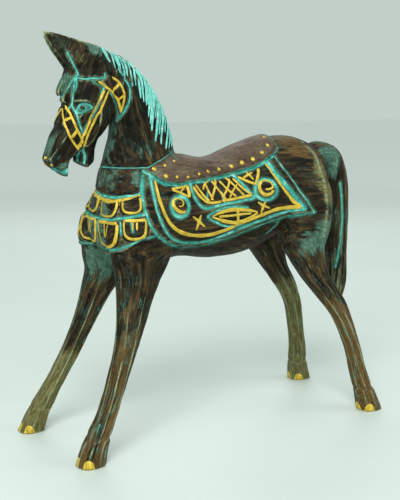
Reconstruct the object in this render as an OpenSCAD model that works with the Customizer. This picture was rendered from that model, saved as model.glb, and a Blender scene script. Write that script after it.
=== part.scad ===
// Carved wooden horse figurine, standing, in bridle, collar, saddle and blanket.
// The horse faces -X and its left side is -Y. The origin is on the table, midway between the feet.

/* [Legs] */
// How far ahead of the middle the left front foot stands
front_left_reach = 168; // [155:1:177]
// How far ahead of the middle the right front foot stands
front_right_reach = 177; // [165:1:180]
// How far behind the middle the left rear foot stands
rear_left_reach = 168; // [155:1:177]
// How far behind the middle the right rear foot stands
rear_right_reach = 177; // [165:1:180]
// Sideways distance from the middle to each front foot
front_track = 61; // [52:1:68]
// Sideways distance from the middle to each rear foot
rear_track = 69; // [60:1:76]
// Length of a hoof, toe to heel
hoof_length = 27; // [23:0.5:30]

/* [Body] */
// Half of the barrel's width
barrel_half_width = 46; // [42:0.5:50]
// Height of the glued faces on top of the front legs
front_seam_h = 167; // [165:0.5:170]
// Height of the glued faces on top of the rear legs
rear_seam_h = 182; // [180:0.5:186]
// Height of the glued face under the neck
neck_seam_h = 273; // [271:0.5:275]

/* [Carved harness] */
// How far the blanket stands out of the flank
blanket_relief = 2.2; // [1.5:0.1:3]
// How far the saddle stands out of the back
saddle_relief = 4.6; // [3.5:0.1:6]
// How far the collar stands out of the chest
collar_relief = 2.4; // [2:0.1:4]
// How far the bridle straps stand out of the head
strap_relief = 1.2; // [0.8:0.1:2]

/* [Mane] */
// Locks of the mane on each side
lock_count = 12; // [8:1:14]
// Radius of one lock
lock_radius = 2.6; // [2:0.1:3]

/* [Joinery] */
// Diameter of the glued dowels
dowel_d = 9; // [6:0.5:10]
// Depth that a dowel reaches into each piece
dowel_depth = 18; // [12:1:22]
// Room for glue around a dowel
glue_gap = 0.15; // [0.1:0.05:0.3]

/* [Hidden] */

LEFT = -1;
RIGHT = 1;
BIG = 400;
bore_d = dowel_d + 2 * glue_gap;
end_gap = 1;
hoof_r = hoof_length / 2;
ear_set_back = 5;
tab_relief = 0.9;
tier_step = 1;
front_bow = [0, 4];
rear_bow = [0, 6];
front_root = [-101, 34];
rear_root = [98, 37];
neck_dowel_x = [-108, -80];
tail_seam_x = 134;
tail_seat = 29;
tail_seat_low = 262;
tail_dowel_z = 277;
leg_space_size = [80, 60];

// Every form below is a list of sections, and a section is
// [x, y, z, lean, reach to the front, reach to the back, half width, roundness].
// Lean turns the section in the side view: 0 is level and 90 stands upright, with its back upwards.
// A roundness of 1 is an ellipse and a smaller one is squarer.

w = barrel_half_width;
body_sections = [
    [-127.5, 0, 221, 90, 9, 10, 0.22 * w, 1],
    [-124.5, 0, 221, 90, 23, 24, 0.46 * w, 0.95],
    [-118, 0, 220, 90, 36, 40, 0.68 * w, 0.9],
    [-107, 0, 220, 90, 47, 50, 0.88 * w, 0.88],
    [-84, 0, 221, 90, 49, 56, 0.98 * w, 0.88],
    [-46, 0, 222, 90, 42, 59, 1.00 * w, 0.92],
    [-4, 0, 222, 90, 47, 53, 1.01 * w, 0.92],
    [34, 0, 226, 90, 48.5, 61, 1.00 * w, 0.92],
    [68, 0, 236, 90, 47, 61, 0.98 * w, 0.92],
    [96, 0, 246, 90, 41, 54, 0.95 * w, 0.95],
    [120, 0, 250, 90, 42, 44, 0.84 * w, 1],
    [138, 0, 252, 90, 36, 32, 0.60 * w, 1],
    [146, 0, 252, 90, 20, 18, 0.30 * w, 1]];

function shoulder_sections(side) = [
    [front_root[0], side * front_root[1], front_seam_h, 0, 23, 23, 17, 0.85],
    [-98, side * 33, 186, 0, 30, 32, 18.5, 0.9],
    [-95, side * 31, 208, 0, 34, 35, 20, 0.95],
    [-92, side * 28, 232, 0, 31, 32, 19, 1],
    [-88, side * 22, 254, 0, 19, 20, 13, 1],
    [-86, side * 18, 262, 0, 6, 6, 5, 1]];

function haunch_sections(side) = [
    [rear_root[0], side * rear_root[1], rear_seam_h, 0, 25, 24, 17, 0.85],
    [102, side * 36, 200, 0, 30, 28, 19, 0.9],
    [104, side * 32, 225, 0, 35, 34, 20.5, 1],
    [103, side * 27, 250, 0, 35, 33, 20, 1],
    [98, side * 20, 275, 0, 25, 24, 15, 1],
    [96, side * 15, 286, 0, 9, 9, 7, 1]];

// A leg bends by bow: how much further towards its foot the middle of the leg already stands
function front_leg_sections(side, reach, bow) = let (foot = side * front_track, root = side * front_root[1]) [
    [front_root[0], root, front_seam_h, 0, 23, 23, 17, 0.85],
    [mix(front_root[0], -reach, 0.12) - 0.5 * bow, mix(root, foot, 0.16), 141, 0, 17, 16.5, 14, 0.8],
    [mix(front_root[0], -reach, 0.27) - bow, mix(root, foot, 0.36), 108, 0, 12.3, 12, 10.8, 0.75],
    [mix(front_root[0], -reach, 0.46) - bow, mix(root, foot, 0.55), 76, 0, 10.2, 10, 9.5, 0.75],
    [mix(front_root[0], -reach, 0.67) - bow, mix(root, foot, 0.75), 46, 0, 9.7, 9.7, 9.5, 0.75],
    [mix(front_root[0], -reach, 0.82) - 0.5 * bow, mix(root, foot, 0.86), 29, 0, 11, 11.5, 10.5, 0.75],
    [mix(front_root[0], -reach, 0.95), mix(root, foot, 0.95), 12, 0, 12.5, 12.5, 12, 0.75],
    [-reach, foot, 0, 0, hoof_r, hoof_r, 13, 0.8]];

function rear_leg_sections(side, reach, bow) = let (foot = side * rear_track, root = side * rear_root[1]) [
    [rear_root[0], root, rear_seam_h, 0, 25, 24, 17, 0.85],
    [mix(rear_root[0], reach, 0.15) + bow, mix(root, foot, 0.16), 153, 0, 17, 16.5, 14, 0.8],
    [mix(rear_root[0], reach, 0.41) + bow, mix(root, foot, 0.32), 127, 0, 15, 14.5, 11.5, 0.75],
    [mix(rear_root[0], reach, 0.61) + bow, mix(root, foot, 0.46), 104, 0, 12, 9.8, 9.2, 0.75],
    [mix(rear_root[0], reach, 0.76) + 0.5 * bow, mix(root, foot, 0.62), 73, 0, 9, 8.7, 8.7, 0.75],
    [mix(rear_root[0], reach, 0.85) + 0.5 * bow, mix(root, foot, 0.77), 43, 0, 9.2, 9.2, 9.2, 0.75],
    [mix(rear_root[0], reach, 0.93), mix(root, foot, 0.90), 20, 0, 11, 11.2, 10.7, 0.75],
    [reach, foot, 0, 0, hoof_r, hoof_r, 13, 0.8]];

neck_sections = [
    [-86, 0, 236, 0, 41, 46, 36, 0.95],
    [-84, 0, 262, 0, 40, 45, 34, 0.95],
    [-82, 0, 284, 3, 36, 38.5, 29, 1],
    [-82, 0, 306, 8, 31, 31.5, 25, 1],
    [-87, 0, 326, 24, 27, 27.5, 22, 1],
    [-98, 0, 342, 46, 24, 26, 20, 1],
    [-112, 0, 354, 68, 22, 25.5, 18, 1],
    [-126, 0, 360, 85, 18, 21, 15, 1]];

head_sections = [
    [-124, 0, 378, -12, 15, 8, 10, 1],
    [-130, 0, 366, -16, 25, 18, 19, 0.95],
    [-134, 0, 349, -19, 27, 24, 23, 0.9],
    [-138, 0, 330, -20, 23, 26, 24, 0.85],
    [-147, 0, 312, -21, 19.3, 23.5, 20, 0.8],
    [-158, 0, 297, -22, 17.5, 17, 15.5, 0.75],
    [-166, 0, 286, -23, 15.5, 10, 13, 0.7],
    [-170, 0, 278, -24, 12.5, 12, 12, 0.7],
    [-170, 0, 270.5, -28, 7, 12.5, 10, 0.75]];

jaw_sections = [
    [-138, 0, 306, -20, 14, 12, 13, 0.9],
    [-140, 0, 293, -20, 12, 10, 10, 0.85],
    [-142, 0, 283, -20, 10, 11, 8.5, 0.8],
    [-144, 0, 276, -24, 8, 7, 7, 0.8]];

// A pointed ear, set back along its own length by back
function ear_sections(side, back) = [for (s = [
    [-112, 10, 358, 60, 14, 12, 6, 1],
    [-126, 10, 366, 60, 21.5, 18, 9, 0.95],
    [-140, 9.5, 374.5, 60, 19, 16, 9, 0.95],
    [-153, 8, 382.5, 60, 15.3, 12, 7, 0.95],
    [-165, 6.5, 390, 60, 10.5, 7, 4.8, 1],
    [-175, 5.5, 396.2, 60, 6, 3.2, 3.2, 1],
    [-181.5, 5, 399.4, 60, 0.8, 0.7, 0.8, 1]])
    [s[0] + 0.87 * back, side * s[1], s[2] - 0.5 * back, s[3], s[4], s[5], s[6], s[7]]];

tail_sections = [
    [126, 0, 277, 90, 11, 13, 12, 1],
    [147, 0, 279, 96, 12, 13.5, 12.5, 1],
    [163, 0, 271, 44, 12, 14, 13, 1],
    [170, 0, 246, 12, 13, 15, 14, 0.9],
    [172, 0, 210, 2, 14, 14.5, 15, 0.9],
    [172, 0, 170, 0, 12.5, 14, 13.5, 0.9],
    [173, 0, 132, 0, 9, 15, 10, 0.9],
    [178, 0, 110, 0, 3, 4.5, 3.5, 1]];

// ---- Curves ----

function mix(a, b, t) = a + (b - a) * t;
function signed_power(v, e) = sign(v) * pow(abs(v), e);

// A smooth curve through four rows, at t of the way from the second row to the third
function curve(a, b, c, d, t) =
    0.5 * (2 * b + (c - a) * t + (2 * a - 5 * b + 4 * c - d) * t * t + (3 * b - a - 3 * c + d) * t * t * t);

// The row at place s in a list of rows, where s = 1.5 is halfway between the second and the third
function row_at(rows, s) =
    let (last = len(rows) - 1, i = min(floor(s), last - 1))
    curve(rows[max(i - 1, 0)], rows[i], rows[i + 1], rows[min(i + 2, last)], s - i);

// The point at angle a of one section, which grows outwards by grow
function section_point(s, a, grow) =
    let (along = signed_power(cos(a), s[7]), across = signed_power(sin(a), s[7]),
        reach = (along < 0 ? s[4] : s[5]) + grow)
    [s[0] + reach * along * cos(s[3]), s[1] + (s[6] + grow) * across, s[2] + reach * along * sin(s[3])];

// A closed solid skinned over smooth sections, grown outwards by grow all round
module skin(rows, steps = 4, sides = 28, grow = 0) {
    count = (len(rows) - 1) * steps;
    drift = unit([for (k = [0:2]) rows[len(rows) - 1][k] - rows[0][k]]);
    points = [for (i = [0:count]) let (s = row_at(rows, i / steps), push = grow * (2 * i / count - 1))
        for (k = [0:sides - 1]) section_point(s, 360 * k / sides, grow) + push * drift];
    walls = [for (i = [0:count - 1]) for (k = [0:sides - 1])
        let (a = i * sides + k, b = i * sides + (k + 1) % sides)
        each [[a, b, a + sides], [b, b + sides, a + sides]]];
    first = [for (k = [sides - 1:-1:0]) k];
    last = [for (k = [0:sides - 1]) count * sides + k];
    faces = concat(walls, [first, last]);
    polyhedron(points, turns_left(points, sides) ? faces : [for (f = faces) reversed(f)]);
}

function reversed(list) = [for (k = [len(list) - 1:-1:0]) list[k]];

function unit(v) = v / norm(v);

// Whether the rings of a skin run the way round that makes its walls face outwards
function turns_left(points, sides) =
    cross(points[sides / 4] - points[0], points[sides / 2] - points[0]) * (points[sides] - points[0]) < 0;

// A straight-sided block through the whole width, from its outline [x, z] in the side view
module side_block(outline) {
    rotate([90, 0, 0]) linear_extrude(BIG, center = true) polygon(outline);
}

// A round bore or dowel from one point to another straight above or behind it
module rod(from, along_x, d, length) {
    translate(from) rotate([0, along_x ? 90 : 0, 0]) cylinder(h = length, d = d, center = true, $fn = 48);
}

// ---- Torso ----

neck_seam = [[-200, neck_seam_h], [-88, neck_seam_h], [-42, neck_seam_h + 19]];
above_neck_seam = concat(neck_seam, [[-42, BIG], [-200, BIG]]);

// The plain barrel with its shoulders and haunches, grown outwards by grow
module barrel(grow = 0) {
    skin(body_sections, 3, 32, grow);
    for (side = [LEFT, RIGHT]) {
        skin(shoulder_sections(side), 3, 20, grow);
        skin(haunch_sections(side), 3, 20, grow);
    }
}

// The barrel with the foot of the neck
module body_mass(grow = 0) {
    barrel(grow);
    skin(neck_sections, 3, 28, grow);
}

blanket_outline = [
    [-95, 264], [-99, 250], [-100, 238], [-98, 225], [-94, 216], [-87, 208], [-77, 201], [-60, 194.5],
    [-45, 193.5], [-30, 194], [-5, 198.5], [25, 206.5], [60, 215], [99, 221], [88, 240], [73, 261],
    [61, 280], [30, 320], [-90, 320]];

saddle_outline = [
    [-89, 271], [-80, 262.5], [-71, 258], [-60, 257], [-46, 258], [-20, 260.7], [5, 264], [29, 269.5],
    [49, 277], [63, 284], [69, 292], [72, 301], [73, 330], [-42, 330], [-42, 292], [-66, 284]];

// The collar's three edges in the side view, from the chest back to the blanket
collar_low_edge = [[-200, 193], [-131, 193.5], [-122, 197], [-114, 202], [-104, 207], [-88, 209.5]];
collar_mid_edge = [[-200, 225], [-124, 225], [-115, 228], [-104, 230], [-91, 232.5]];
collar_top_edge = [[-200, 247.5], [-128, 245.5], [-119, 246], [-107, 248.5], [-94, 252.5]];
collar_axis_x = -90;

// The tabs of each tier as [angle round the chest, half width, bottom, top], from the right side to the left
upper_tabs = [
    [-62, 8.5, 231, 245], [-35, 9, 228, 242], [-6, 8.5, 229, 243], [30, 9, 226.5, 241], [62, 8.5, 231, 246]];
lower_tabs = [
    [-66, 10, 207, 225], [-37, 11, 200, 222], [-8, 10, 199, 222], [30, 11, 198, 222], [66, 10, 207, 226]];
tab_corner_r = 6;
tab_top_r = 1;
tab_reach = 60;

// Oval bosses as [x, z, half length, half height]
rosettes = [[-61, 235.5, 7.6, 8], [41.5, 246.7, 10.8, 8.2]];

// One tier of the collar: the body grown outwards, kept between a lower and an upper edge
module collar_tier(lower, upper, relief) {
    intersection() {
        body_mass(relief);
        side_block(concat(lower, reversed(upper)));
    }
}

// The rounded tabs that hang around one tier, standing a little proud of it
module collar_tabs(tabs, relief) {
    intersection() {
        body_mass(relief);
        for (tab = tabs)
            translate([collar_axis_x, 0, 0]) rotate([0, -90, tab[0]]) tab_block(tab[1], tab[2], tab[3]);
    }
}

// A U-shaped block standing on the chest's axis, before it is turned outwards
module tab_block(half_width, low, high) {
    hull() for (side = [LEFT, RIGHT]) {
        translate([high - tab_top_r, side * (half_width - tab_top_r), 0])
            cylinder(h = tab_reach, r = tab_top_r, $fn = 8);
        translate([low + tab_corner_r, side * (half_width - tab_corner_r), 0])
            cylinder(h = tab_reach, r = tab_corner_r, $fn = 16);
    }
}

// An oval boss carved on both flanks
module rosette(x, z, half_length, half_height) {
    intersection() {
        barrel(blanket_relief + tab_relief);
        translate([x, 0, z]) rotate([90, 0, 0]) scale([half_length, half_height, 1])
            cylinder(h = BIG, r = 1, center = true, $fn = 24);
    }
}

// Everything below the level face that a leg is glued to
module leg_space(root, seam_h, side) {
    translate([root[0], side * root[1], seam_h - BIG / 2])
        cube([leg_space_size[0], leg_space_size[1], BIG], center = true);
}

module torso() {
    color([0.20, 0.15, 0.11]) difference() {
        union() {
            body_mass();
            intersection() {
                barrel(blanket_relief);
                side_block(blanket_outline);
            }
            intersection() {
                barrel(saddle_relief);
                side_block(saddle_outline);
            }
            collar_tier(collar_low_edge, collar_mid_edge, collar_relief);
            collar_tier(collar_mid_edge, collar_top_edge, collar_relief - tier_step);
            collar_tabs(lower_tabs, collar_relief + tab_relief);
            collar_tabs(upper_tabs, collar_relief - tier_step + tab_relief);
            for (r = rosettes)
                rosette(r[0], r[1], r[2], r[3]);
        }
        side_block(above_neck_seam);
        for (side = [LEFT, RIGHT]) {
            leg_space(front_root, front_seam_h, side);
            leg_space(rear_root, rear_seam_h, side);
        }
        translate([tail_seam_x, -tail_seat / 2, tail_seat_low]) cube([BIG, tail_seat, BIG]);
        dowel_bores();
    }
}

module dowel_bores() {
    bore_length = 2 * (dowel_depth + end_gap);
    for (x = neck_dowel_x)
        rod([x, 0, neck_seam_h], false, bore_d, bore_length);
    for (side = [LEFT, RIGHT]) {
        rod([front_root[0], side * front_root[1], front_seam_h], false, bore_d, bore_length);
        rod([rear_root[0], side * rear_root[1], rear_seam_h], false, bore_d, bore_length);
    }
    rod([tail_seam_x, 0, tail_dowel_z], true, bore_d, bore_length);
}

// ---- Neck and head ----

// The point on one side of the neck at place s up its sections and angle a round from the crest
function on_neck(s, a, side) =
    let (p = section_point(row_at(neck_sections, s), a, 0)) [p[0], side * p[1], p[2]];

// One lock of the mane, from the crest down the side of the neck; u runs from 0 at the poll to 1 at the withers
module lock(u, side) {
    joints = 4;
    top = mix(6.7, 2.9, u);
    drop = mix(0.6, 1.25, u);
    end_angle = mix(90, 66, u);
    for (k = [0:joints - 1])
        hull() for (t = [k / joints, (k + 1) / joints])
            translate(on_neck(top - drop * t, mix(5, end_angle, pow(t, 0.8)), side))
                sphere(lock_radius * (1 - 0.45 * t * t), $fn = 8);
}

// One of the two locks that hang over the forehead, from between the ears
module forelock(side) {
    hull() {
        translate([-146, side * 3, 366]) sphere(6, $fn = 12);
        translate([-155.5, side * 4.5, 352 + side * 4]) rotate([0, -28, 0]) cube([9, 8, 5], center = true);
        translate([-162, side * 4.5, 340 + side * 4]) rotate([0, -22, 0]) cube([6, 7, 5], center = true);
    }
}

module eye(side) {
    hull() {
        translate([-150, side * 18.4, 330.5]) sphere(4.4, $fn = 16);
        translate([-157, side * 15.6, 324]) sphere(1.2, $fn = 8);
        translate([-142, side * 21.4, 330]) sphere(1.2, $fn = 8);
    }
}

noseband = [[-175, 334], [-162, 333], [-160, 322], [-155, 314], [-148.5, 305], [-146, 296], [-152, 289],
    [-162, 302], [-167, 316], [-175, 322]];
cheek_strap = [[-128, 349], [-121.5, 346], [-140, 292], [-146, 294]];
crown_strap = [[-136, 357], [-118, 362], [-110, 355], [-104, 344], [-105, 326], [-109, 324], [-115, 337],
    [-124, 346]];

module strap(outline) {
    intersection() {
        skin(head_sections, 3, 28, strap_relief);
        side_block(outline);
    }
}

module neck_and_head() {
    color([0.22, 0.20, 0.15]) difference() {
        union() {
            intersection() {
                union() {
                    skin(neck_sections, 3, 28);
                    for (side = [LEFT, RIGHT], i = [0:lock_count - 1])
                        lock(i / (lock_count - 1), side);
                }
                side_block(above_neck_seam);
            }
            skin(head_sections, 3, 28);
            skin(jaw_sections, 3, 20);
            skin(ear_sections(LEFT, 0), 3, 16);
            skin(ear_sections(RIGHT, ear_set_back), 3, 16);
            for (outline = [noseband, cheek_strap, crown_strap])
                strap(outline);
            for (side = [LEFT, RIGHT]) {
                eye(side);
                forelock(side);
            }
        }
        dowel_bores();
    }
}

// ---- Legs and tail ----

module front_leg(side, reach, bow) {
    color([0.27, 0.23, 0.15]) difference() {
        skin(front_leg_sections(side, reach, bow), 3, 20);
        dowel_bores();
    }
}

module rear_leg(side, reach, bow) {
    color([0.27, 0.23, 0.15]) difference() {
        skin(rear_leg_sections(side, reach, bow), 3, 20);
        dowel_bores();
    }
}

module tail() {
    color([0.19, 0.17, 0.12]) difference() {
        skin(tail_sections, 3, 20);
        translate([tail_seam_x - BIG, -BIG / 2, 0]) cube(BIG);
        dowel_bores();
    }
}

// ---- Dowels ----

module dowel(at, along_x = false) {
    color([0.72, 0.57, 0.38]) rod(at, along_x, dowel_d, 2 * dowel_depth);
}

module leg_dowel(root, seam_h, side) {
    dowel([root[0], side * root[1], seam_h]);
}

torso();
neck_and_head();
front_leg(LEFT, front_left_reach, front_bow[0]);  // front_leg_left
front_leg(RIGHT, front_right_reach, front_bow[1]);  // front_leg_right
rear_leg(LEFT, rear_left_reach, rear_bow[0]);  // rear_leg_left
rear_leg(RIGHT, rear_right_reach, rear_bow[1]);  // rear_leg_right
tail();
dowel([neck_dowel_x[0], 0, neck_seam_h]);  // neck_dowel_front
dowel([neck_dowel_x[1], 0, neck_seam_h]);  // neck_dowel_rear
leg_dowel(front_root, front_seam_h, LEFT);  // front_dowel_left
leg_dowel(front_root, front_seam_h, RIGHT);  // front_dowel_right
leg_dowel(rear_root, rear_seam_h, LEFT);  // rear_dowel_left
leg_dowel(rear_root, rear_seam_h, RIGHT);  // rear_dowel_right
dowel([tail_seam_x, 0, tail_dowel_z], true);  // tail_dowel
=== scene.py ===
"""A carved and painted wooden horse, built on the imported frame. Arrays hold millimetres, meshes metres."""

import math

import bmesh
import bpy
import numpy as np
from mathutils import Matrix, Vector
from mathutils.bvhtree import BVHTree


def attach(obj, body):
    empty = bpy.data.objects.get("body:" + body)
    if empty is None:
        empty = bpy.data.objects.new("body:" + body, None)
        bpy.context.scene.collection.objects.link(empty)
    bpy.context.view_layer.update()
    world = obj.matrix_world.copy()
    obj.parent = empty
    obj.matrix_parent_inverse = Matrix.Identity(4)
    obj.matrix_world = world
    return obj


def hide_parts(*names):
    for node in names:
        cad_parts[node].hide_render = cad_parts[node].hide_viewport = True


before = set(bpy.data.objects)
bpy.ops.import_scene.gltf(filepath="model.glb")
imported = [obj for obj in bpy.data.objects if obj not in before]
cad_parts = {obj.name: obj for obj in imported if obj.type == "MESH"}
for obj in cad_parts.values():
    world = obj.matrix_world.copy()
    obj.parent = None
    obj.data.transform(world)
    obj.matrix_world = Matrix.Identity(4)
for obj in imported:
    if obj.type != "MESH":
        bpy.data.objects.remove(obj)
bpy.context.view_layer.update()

MM = 0.001
SIDES = (-1, 1)
VOXEL = 0.9
# The reading of the verdigris layer where there is none; it is 0 in the middle of a cut and 1 at its edge
NO_PAINT = 4.0
# Glued seams: heights over the floor, a line of [x, z] across the neck, and how far back the tail starts
FRONT_SEAM = 167.0
REAR_SEAM = 182.0
NECK_SEAM = [(-200, 273), (-88, 273), (-42, 292)]
TAIL_SEAM = 135.5
# The step where each leg widens into its hoof
HOOF_TOP = 23.0

# The wood of each carved piece, by its CAD node
PIECES = {"torso": "body_wood", "neck_and_head": "head_wood", "front_leg_left": "leg_wood",
          "front_leg_right": "leg_wood", "rear_leg_left": "leg_wood", "rear_leg_right": "leg_wood",
          "tail": "tail_wood"}
# Where the touches of gold sit round each hoof, in degrees, and their half width and height
TOE_TURNS = (-125, 163, 91)
TOE_HALF = 5.6
TOE_TALL = 8.0

DOWELS = ["neck_dowel_front", "neck_dowel_rear", "front_dowel_left", "front_dowel_right",
          "rear_dowel_left", "rear_dowel_right", "tail_dowel"]


# ---- Small helpers ----

def linked(name, data):
    """A new object in the scene."""
    made = bpy.data.objects.new(name, data)
    bpy.context.scene.collection.objects.link(made)
    return made


def read(items, key, width, kind=float):
    """One property of a mesh's vertices, edges or corners, as rows of an array."""
    found = np.zeros(len(items) * width, kind)
    items.foreach_get(key, found)
    return found.reshape(-1, width)


def ramp(value, low, high):
    """0 at low and 1 at high, with a smooth step between."""
    t = np.clip((value - low) / (high - low), 0, 1)
    return t * t * (3 - 2 * t)


def waves(points, length, seed, count=20):
    """Smooth noise from about -1 to 1 whose bumps are about length across."""
    rng = np.random.default_rng(seed)
    directions = rng.normal(size=(count, points.shape[1]))
    directions /= np.linalg.norm(directions, axis=1)[:, None]
    lengths = length * rng.uniform(0.7, 1.4, count)
    phases = rng.uniform(0, 2 * np.pi, count)
    total = np.zeros(len(points))
    for direction, each, phase in zip(directions, lengths, phases):
        total += np.sin(points @ direction * (2 * np.pi / each) + phase)
    return total * math.sqrt(2 / count) / 1.5


def smooth_line(points, step=1.5):
    """A smooth curve through the points, as many short steps."""
    p = np.array(points, float)
    far = np.vstack([2 * p[0] - p[1], p, 2 * p[-1] - p[-2]])
    parts = []
    for a, b, c, d in zip(far[:-3], far[1:-2], far[2:-1], far[3:]):
        count = max(2, int(np.linalg.norm(c - b) / step))
        t = np.linspace(0, 1, count, endpoint=False)[:, None]
        parts.append(0.5 * (2 * b + (c - a) * t + (2 * a - 5 * b + 4 * c - d) * t ** 2
                            + (3 * b - a - 3 * c + d) * t ** 3))
    return np.vstack(parts + [p[-1:]])


def straight_line(points, step=1.5):
    """The points joined by straight lines, as many short steps."""
    p = np.array(points, float)
    parts = []
    for a, b in zip(p[:-1], p[1:]):
        count = max(2, int(np.linalg.norm(b - a) / step))
        parts.append(a + (b - a) * np.linspace(0, 1, count, endpoint=False)[:, None])
    return np.vstack(parts + [p[-1:]])


def distance_to(points, line):
    """How far each point is from a line, in the plane or in space."""
    nearest = np.full(len(points), 1e9)
    for a, b in zip(line[:-1], line[1:]):
        ab = b - a
        t = np.clip((points - a) @ ab / max(ab @ ab, 1e-9), 0, 1)
        nearest = np.minimum(nearest, np.linalg.norm(points - a - t[:, None] * ab, axis=1))
    return nearest


def inside(points, outline):
    """Which flat points lie inside a closed outline."""
    found = np.zeros(len(points), bool)
    x, z = points[:, 0], points[:, 1]
    for a, b in zip(outline, np.roll(outline, -1, axis=0)):
        if a[1] == b[1]:
            continue
        crosses = (a[1] > z) != (b[1] > z)
        found ^= crosses & (x < (b[0] - a[0]) * (z - a[1]) / (b[1] - a[1]) + a[0])
    return found


# ---- Carved and painted lines, [x, z] in the side view, the same on both sides ----

BLANKET_FRONT = [
    (-94, 266), (-97, 256), (-99.5, 245), (-99.8, 234), (-98.2, 225), (-94.3, 216.4), (-87.9, 208.5),
    (-77.5, 201), (-60.5, 194.8), (-46, 193.2), (-31.8, 193.6), (-19.1, 195.4), (-4.5, 198.5), (12.6, 203.1),
    (33.8, 209.2), (52, 213.5), (73.8, 217), (100, 220.5)]
BLANKET_REAR = [(100, 220.5), (93.5, 230.5), (81, 250), (73, 261), (65, 272), (62, 281)]
BLANKET_EDGE = np.vstack([smooth_line(BLANKET_FRONT), smooth_line(BLANKET_REAR)])
BLANKET_GROOVE = smooth_line([
    (-87, 264), (-88, 254), (-88, 244.8), (-87.3, 236), (-85.8, 227.5), (-82.5, 218.5), (-77, 210.5),
    (-68.5, 203.8), (-56, 199), (-41.2, 197.6), (-29.2, 198), (-20.1, 199.8), (-11.3, 202.5), (9.4, 209),
    (21.2, 212.2), (33.8, 215.2), (46, 218.3), (60, 221.2), (88, 224.6)])
BLANKET_REAR_GROOVE = smooth_line([
    (86.5, 227), (81, 234.5), (73.4, 244), (63.6, 254), (55.8, 264), (50.5, 274)])
BLANKET_GOLD = smooth_line([
    (-83.6, 261), (-84, 251.3), (-82.8, 242.8), (-80.6, 233.3), (-76.6, 224.5), (-69.6, 216), (-60.2, 210.2),
    (-49.6, 206.8), (-38, 205), (-26.3, 205.2), (-14.8, 207.2), (-3.4, 210.3), (8.4, 214), (20.5, 217.4),
    (32.8, 220.6), (45.5, 224), (58.6, 226.3), (72.3, 226.8), (84, 226.6)])
BLANKET_GOLD_REAR = smooth_line([
    (84, 226.6), (76, 233.3), (66.8, 243.2), (58.7, 253.4), (52, 263), (46.8, 272.6)])
SADDLE_EDGE = smooth_line([
    (-93, 270), (-86.2, 266), (-80.6, 261), (-73.2, 257.6), (-63.2, 255.9), (-54, 256), (-46, 257.2),
    (-33.4, 258.4), (-20.6, 259.7), (-7.4, 261.2), (4.7, 263.2), (16.7, 265.6), (28.9, 268.4), (41.1, 272),
    (50, 276.3), (61, 281.6), (67.5, 287), (69, 293), (71, 300), (73, 312)])
SADDLE_AREA = np.array([
    (-90, 271), (-80.6, 262), (-71, 258), (-60, 257), (-46, 258), (-20, 260.7), (5, 264), (29, 269.5),
    (49, 277), (63, 284), (69, 292), (72, 301), (73, 330), (-42, 330), (-42, 292), (-66, 284)], float)

# Gold studs along the saddle, [x, z, radius]
SADDLE_STUDS = [
    (-81.6, 271.6, 2.2), (-68.3, 274.4, 1.7), (-55.4, 278.1, 1.4), (-72.1, 264.9, 2.2), (-60.6, 263.5, 1.6),
    (-48.2, 263, 1.6), (-34.1, 265.3, 1.6), (-22, 267.1, 1.8), (-7.1, 268.6, 2.1), (8.4, 271, 2.2),
    (20.8, 274.2, 2.5), (33.8, 277.6, 2.4), (47, 283.8, 2.1), (57.5, 291, 2.0), (63, 298.5, 1.6)]

# Oval rosettes as [x, z, half length, half height] of the ring's outer edge
ROSETTES = [(-61, 235.5, 11.4, 11.6), (41.5, 246.7, 15.2, 11.9)]
RING_WIDTH = 3.4
SPIRALS = [
    ([(-54.6, 230.4), (-61.4, 230.2), (-66.4, 233.2), (-68.6, 237.4), (-67.6, 241.1), (-64.6, 243.2),
      (-61.1, 242.9), (-58.1, 240.6), (-58, 237.3), (-60.8, 235.3), (-63.4, 236.2)],
     3.0, (0.7, 1.0, 1.15, 1.1, 0.75, 0.55, 0.5, 0.4)),
    ([(50.4, 245.8), (45.4, 242.2), (37.6, 242.2), (33.6, 246.9), (34.0, 251.8), (38.4, 255.2), (44.5, 255.6),
      (49.4, 252.9), (49.2, 249.0), (44.6, 247.4), (39.5, 247.4)],
     3.4, (0.9, 1.0, 1.1, 1.0, 0.95, 0.85, 0.7, 0.5))]
PANEL = smooth_line([
    (-46.4, 258), (-45.8, 252.3), (-44.2, 244.7), (-40.6, 237.8), (-35.9, 233.2), (-29.4, 232.2),
    (-20.1, 233.4), (-9, 234.9), (8.8, 237), (26.5, 239.3)])
PANEL_REAR = straight_line([(7.8, 262), (26.5, 239.8)])
PANEL_SPLITS = [straight_line([(-12.5, 247), (-9.5, 236)]), straight_line([(-27, 249), (-30.5, 241)])]

# Gold strokes inside the panel, each with its width
LATTICE = [
    ([(-43.6, 253.7), (-40.3, 247.3), (-36.2, 242.1), (-31.2, 238.4), (-23.6, 236.9), (-13.5, 237.8)], 2.7),
    ([(-40.4, 255.4), (-37.4, 250.1), (-33.3, 244.1), (-27.1, 238.4)], 2.1),
    ([(-23.7, 257.9), (-29.6, 255.4), (-33.2, 249.9)], 2.2),
    ([(-28.9, 255.3), (-26.4, 247.6), (-23.2, 239.3)], 2.1),
    ([(-15.2, 258.7), (-19.2, 250.1), (-25.4, 239.6)], 2.3),
    ([(-20.4, 258), (-16.2, 251), (-10.8, 243.9), (-7.8, 238.9)], 2.3),
    ([(-13, 238.4), (-0.3, 239.2), (13, 240.9), (24.4, 242.3)], 2.9),
    ([(1.2, 259.4), (-2.5, 251.6), (-12, 241.2)], 2.2),
    ([(-11.3, 257.8), (-5.3, 250.2), (4.6, 241.8)], 2.4),
    ([(-2.4, 260.2), (6.3, 250.9), (14.2, 242.2)], 2.4),
    ([(8.6, 253.4), (0.6, 246.3), (-2.9, 240.6)], 2.0),
    ([(5.4, 259.3), (13.6, 249.8), (24.4, 242.3)], 2.8)]
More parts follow.
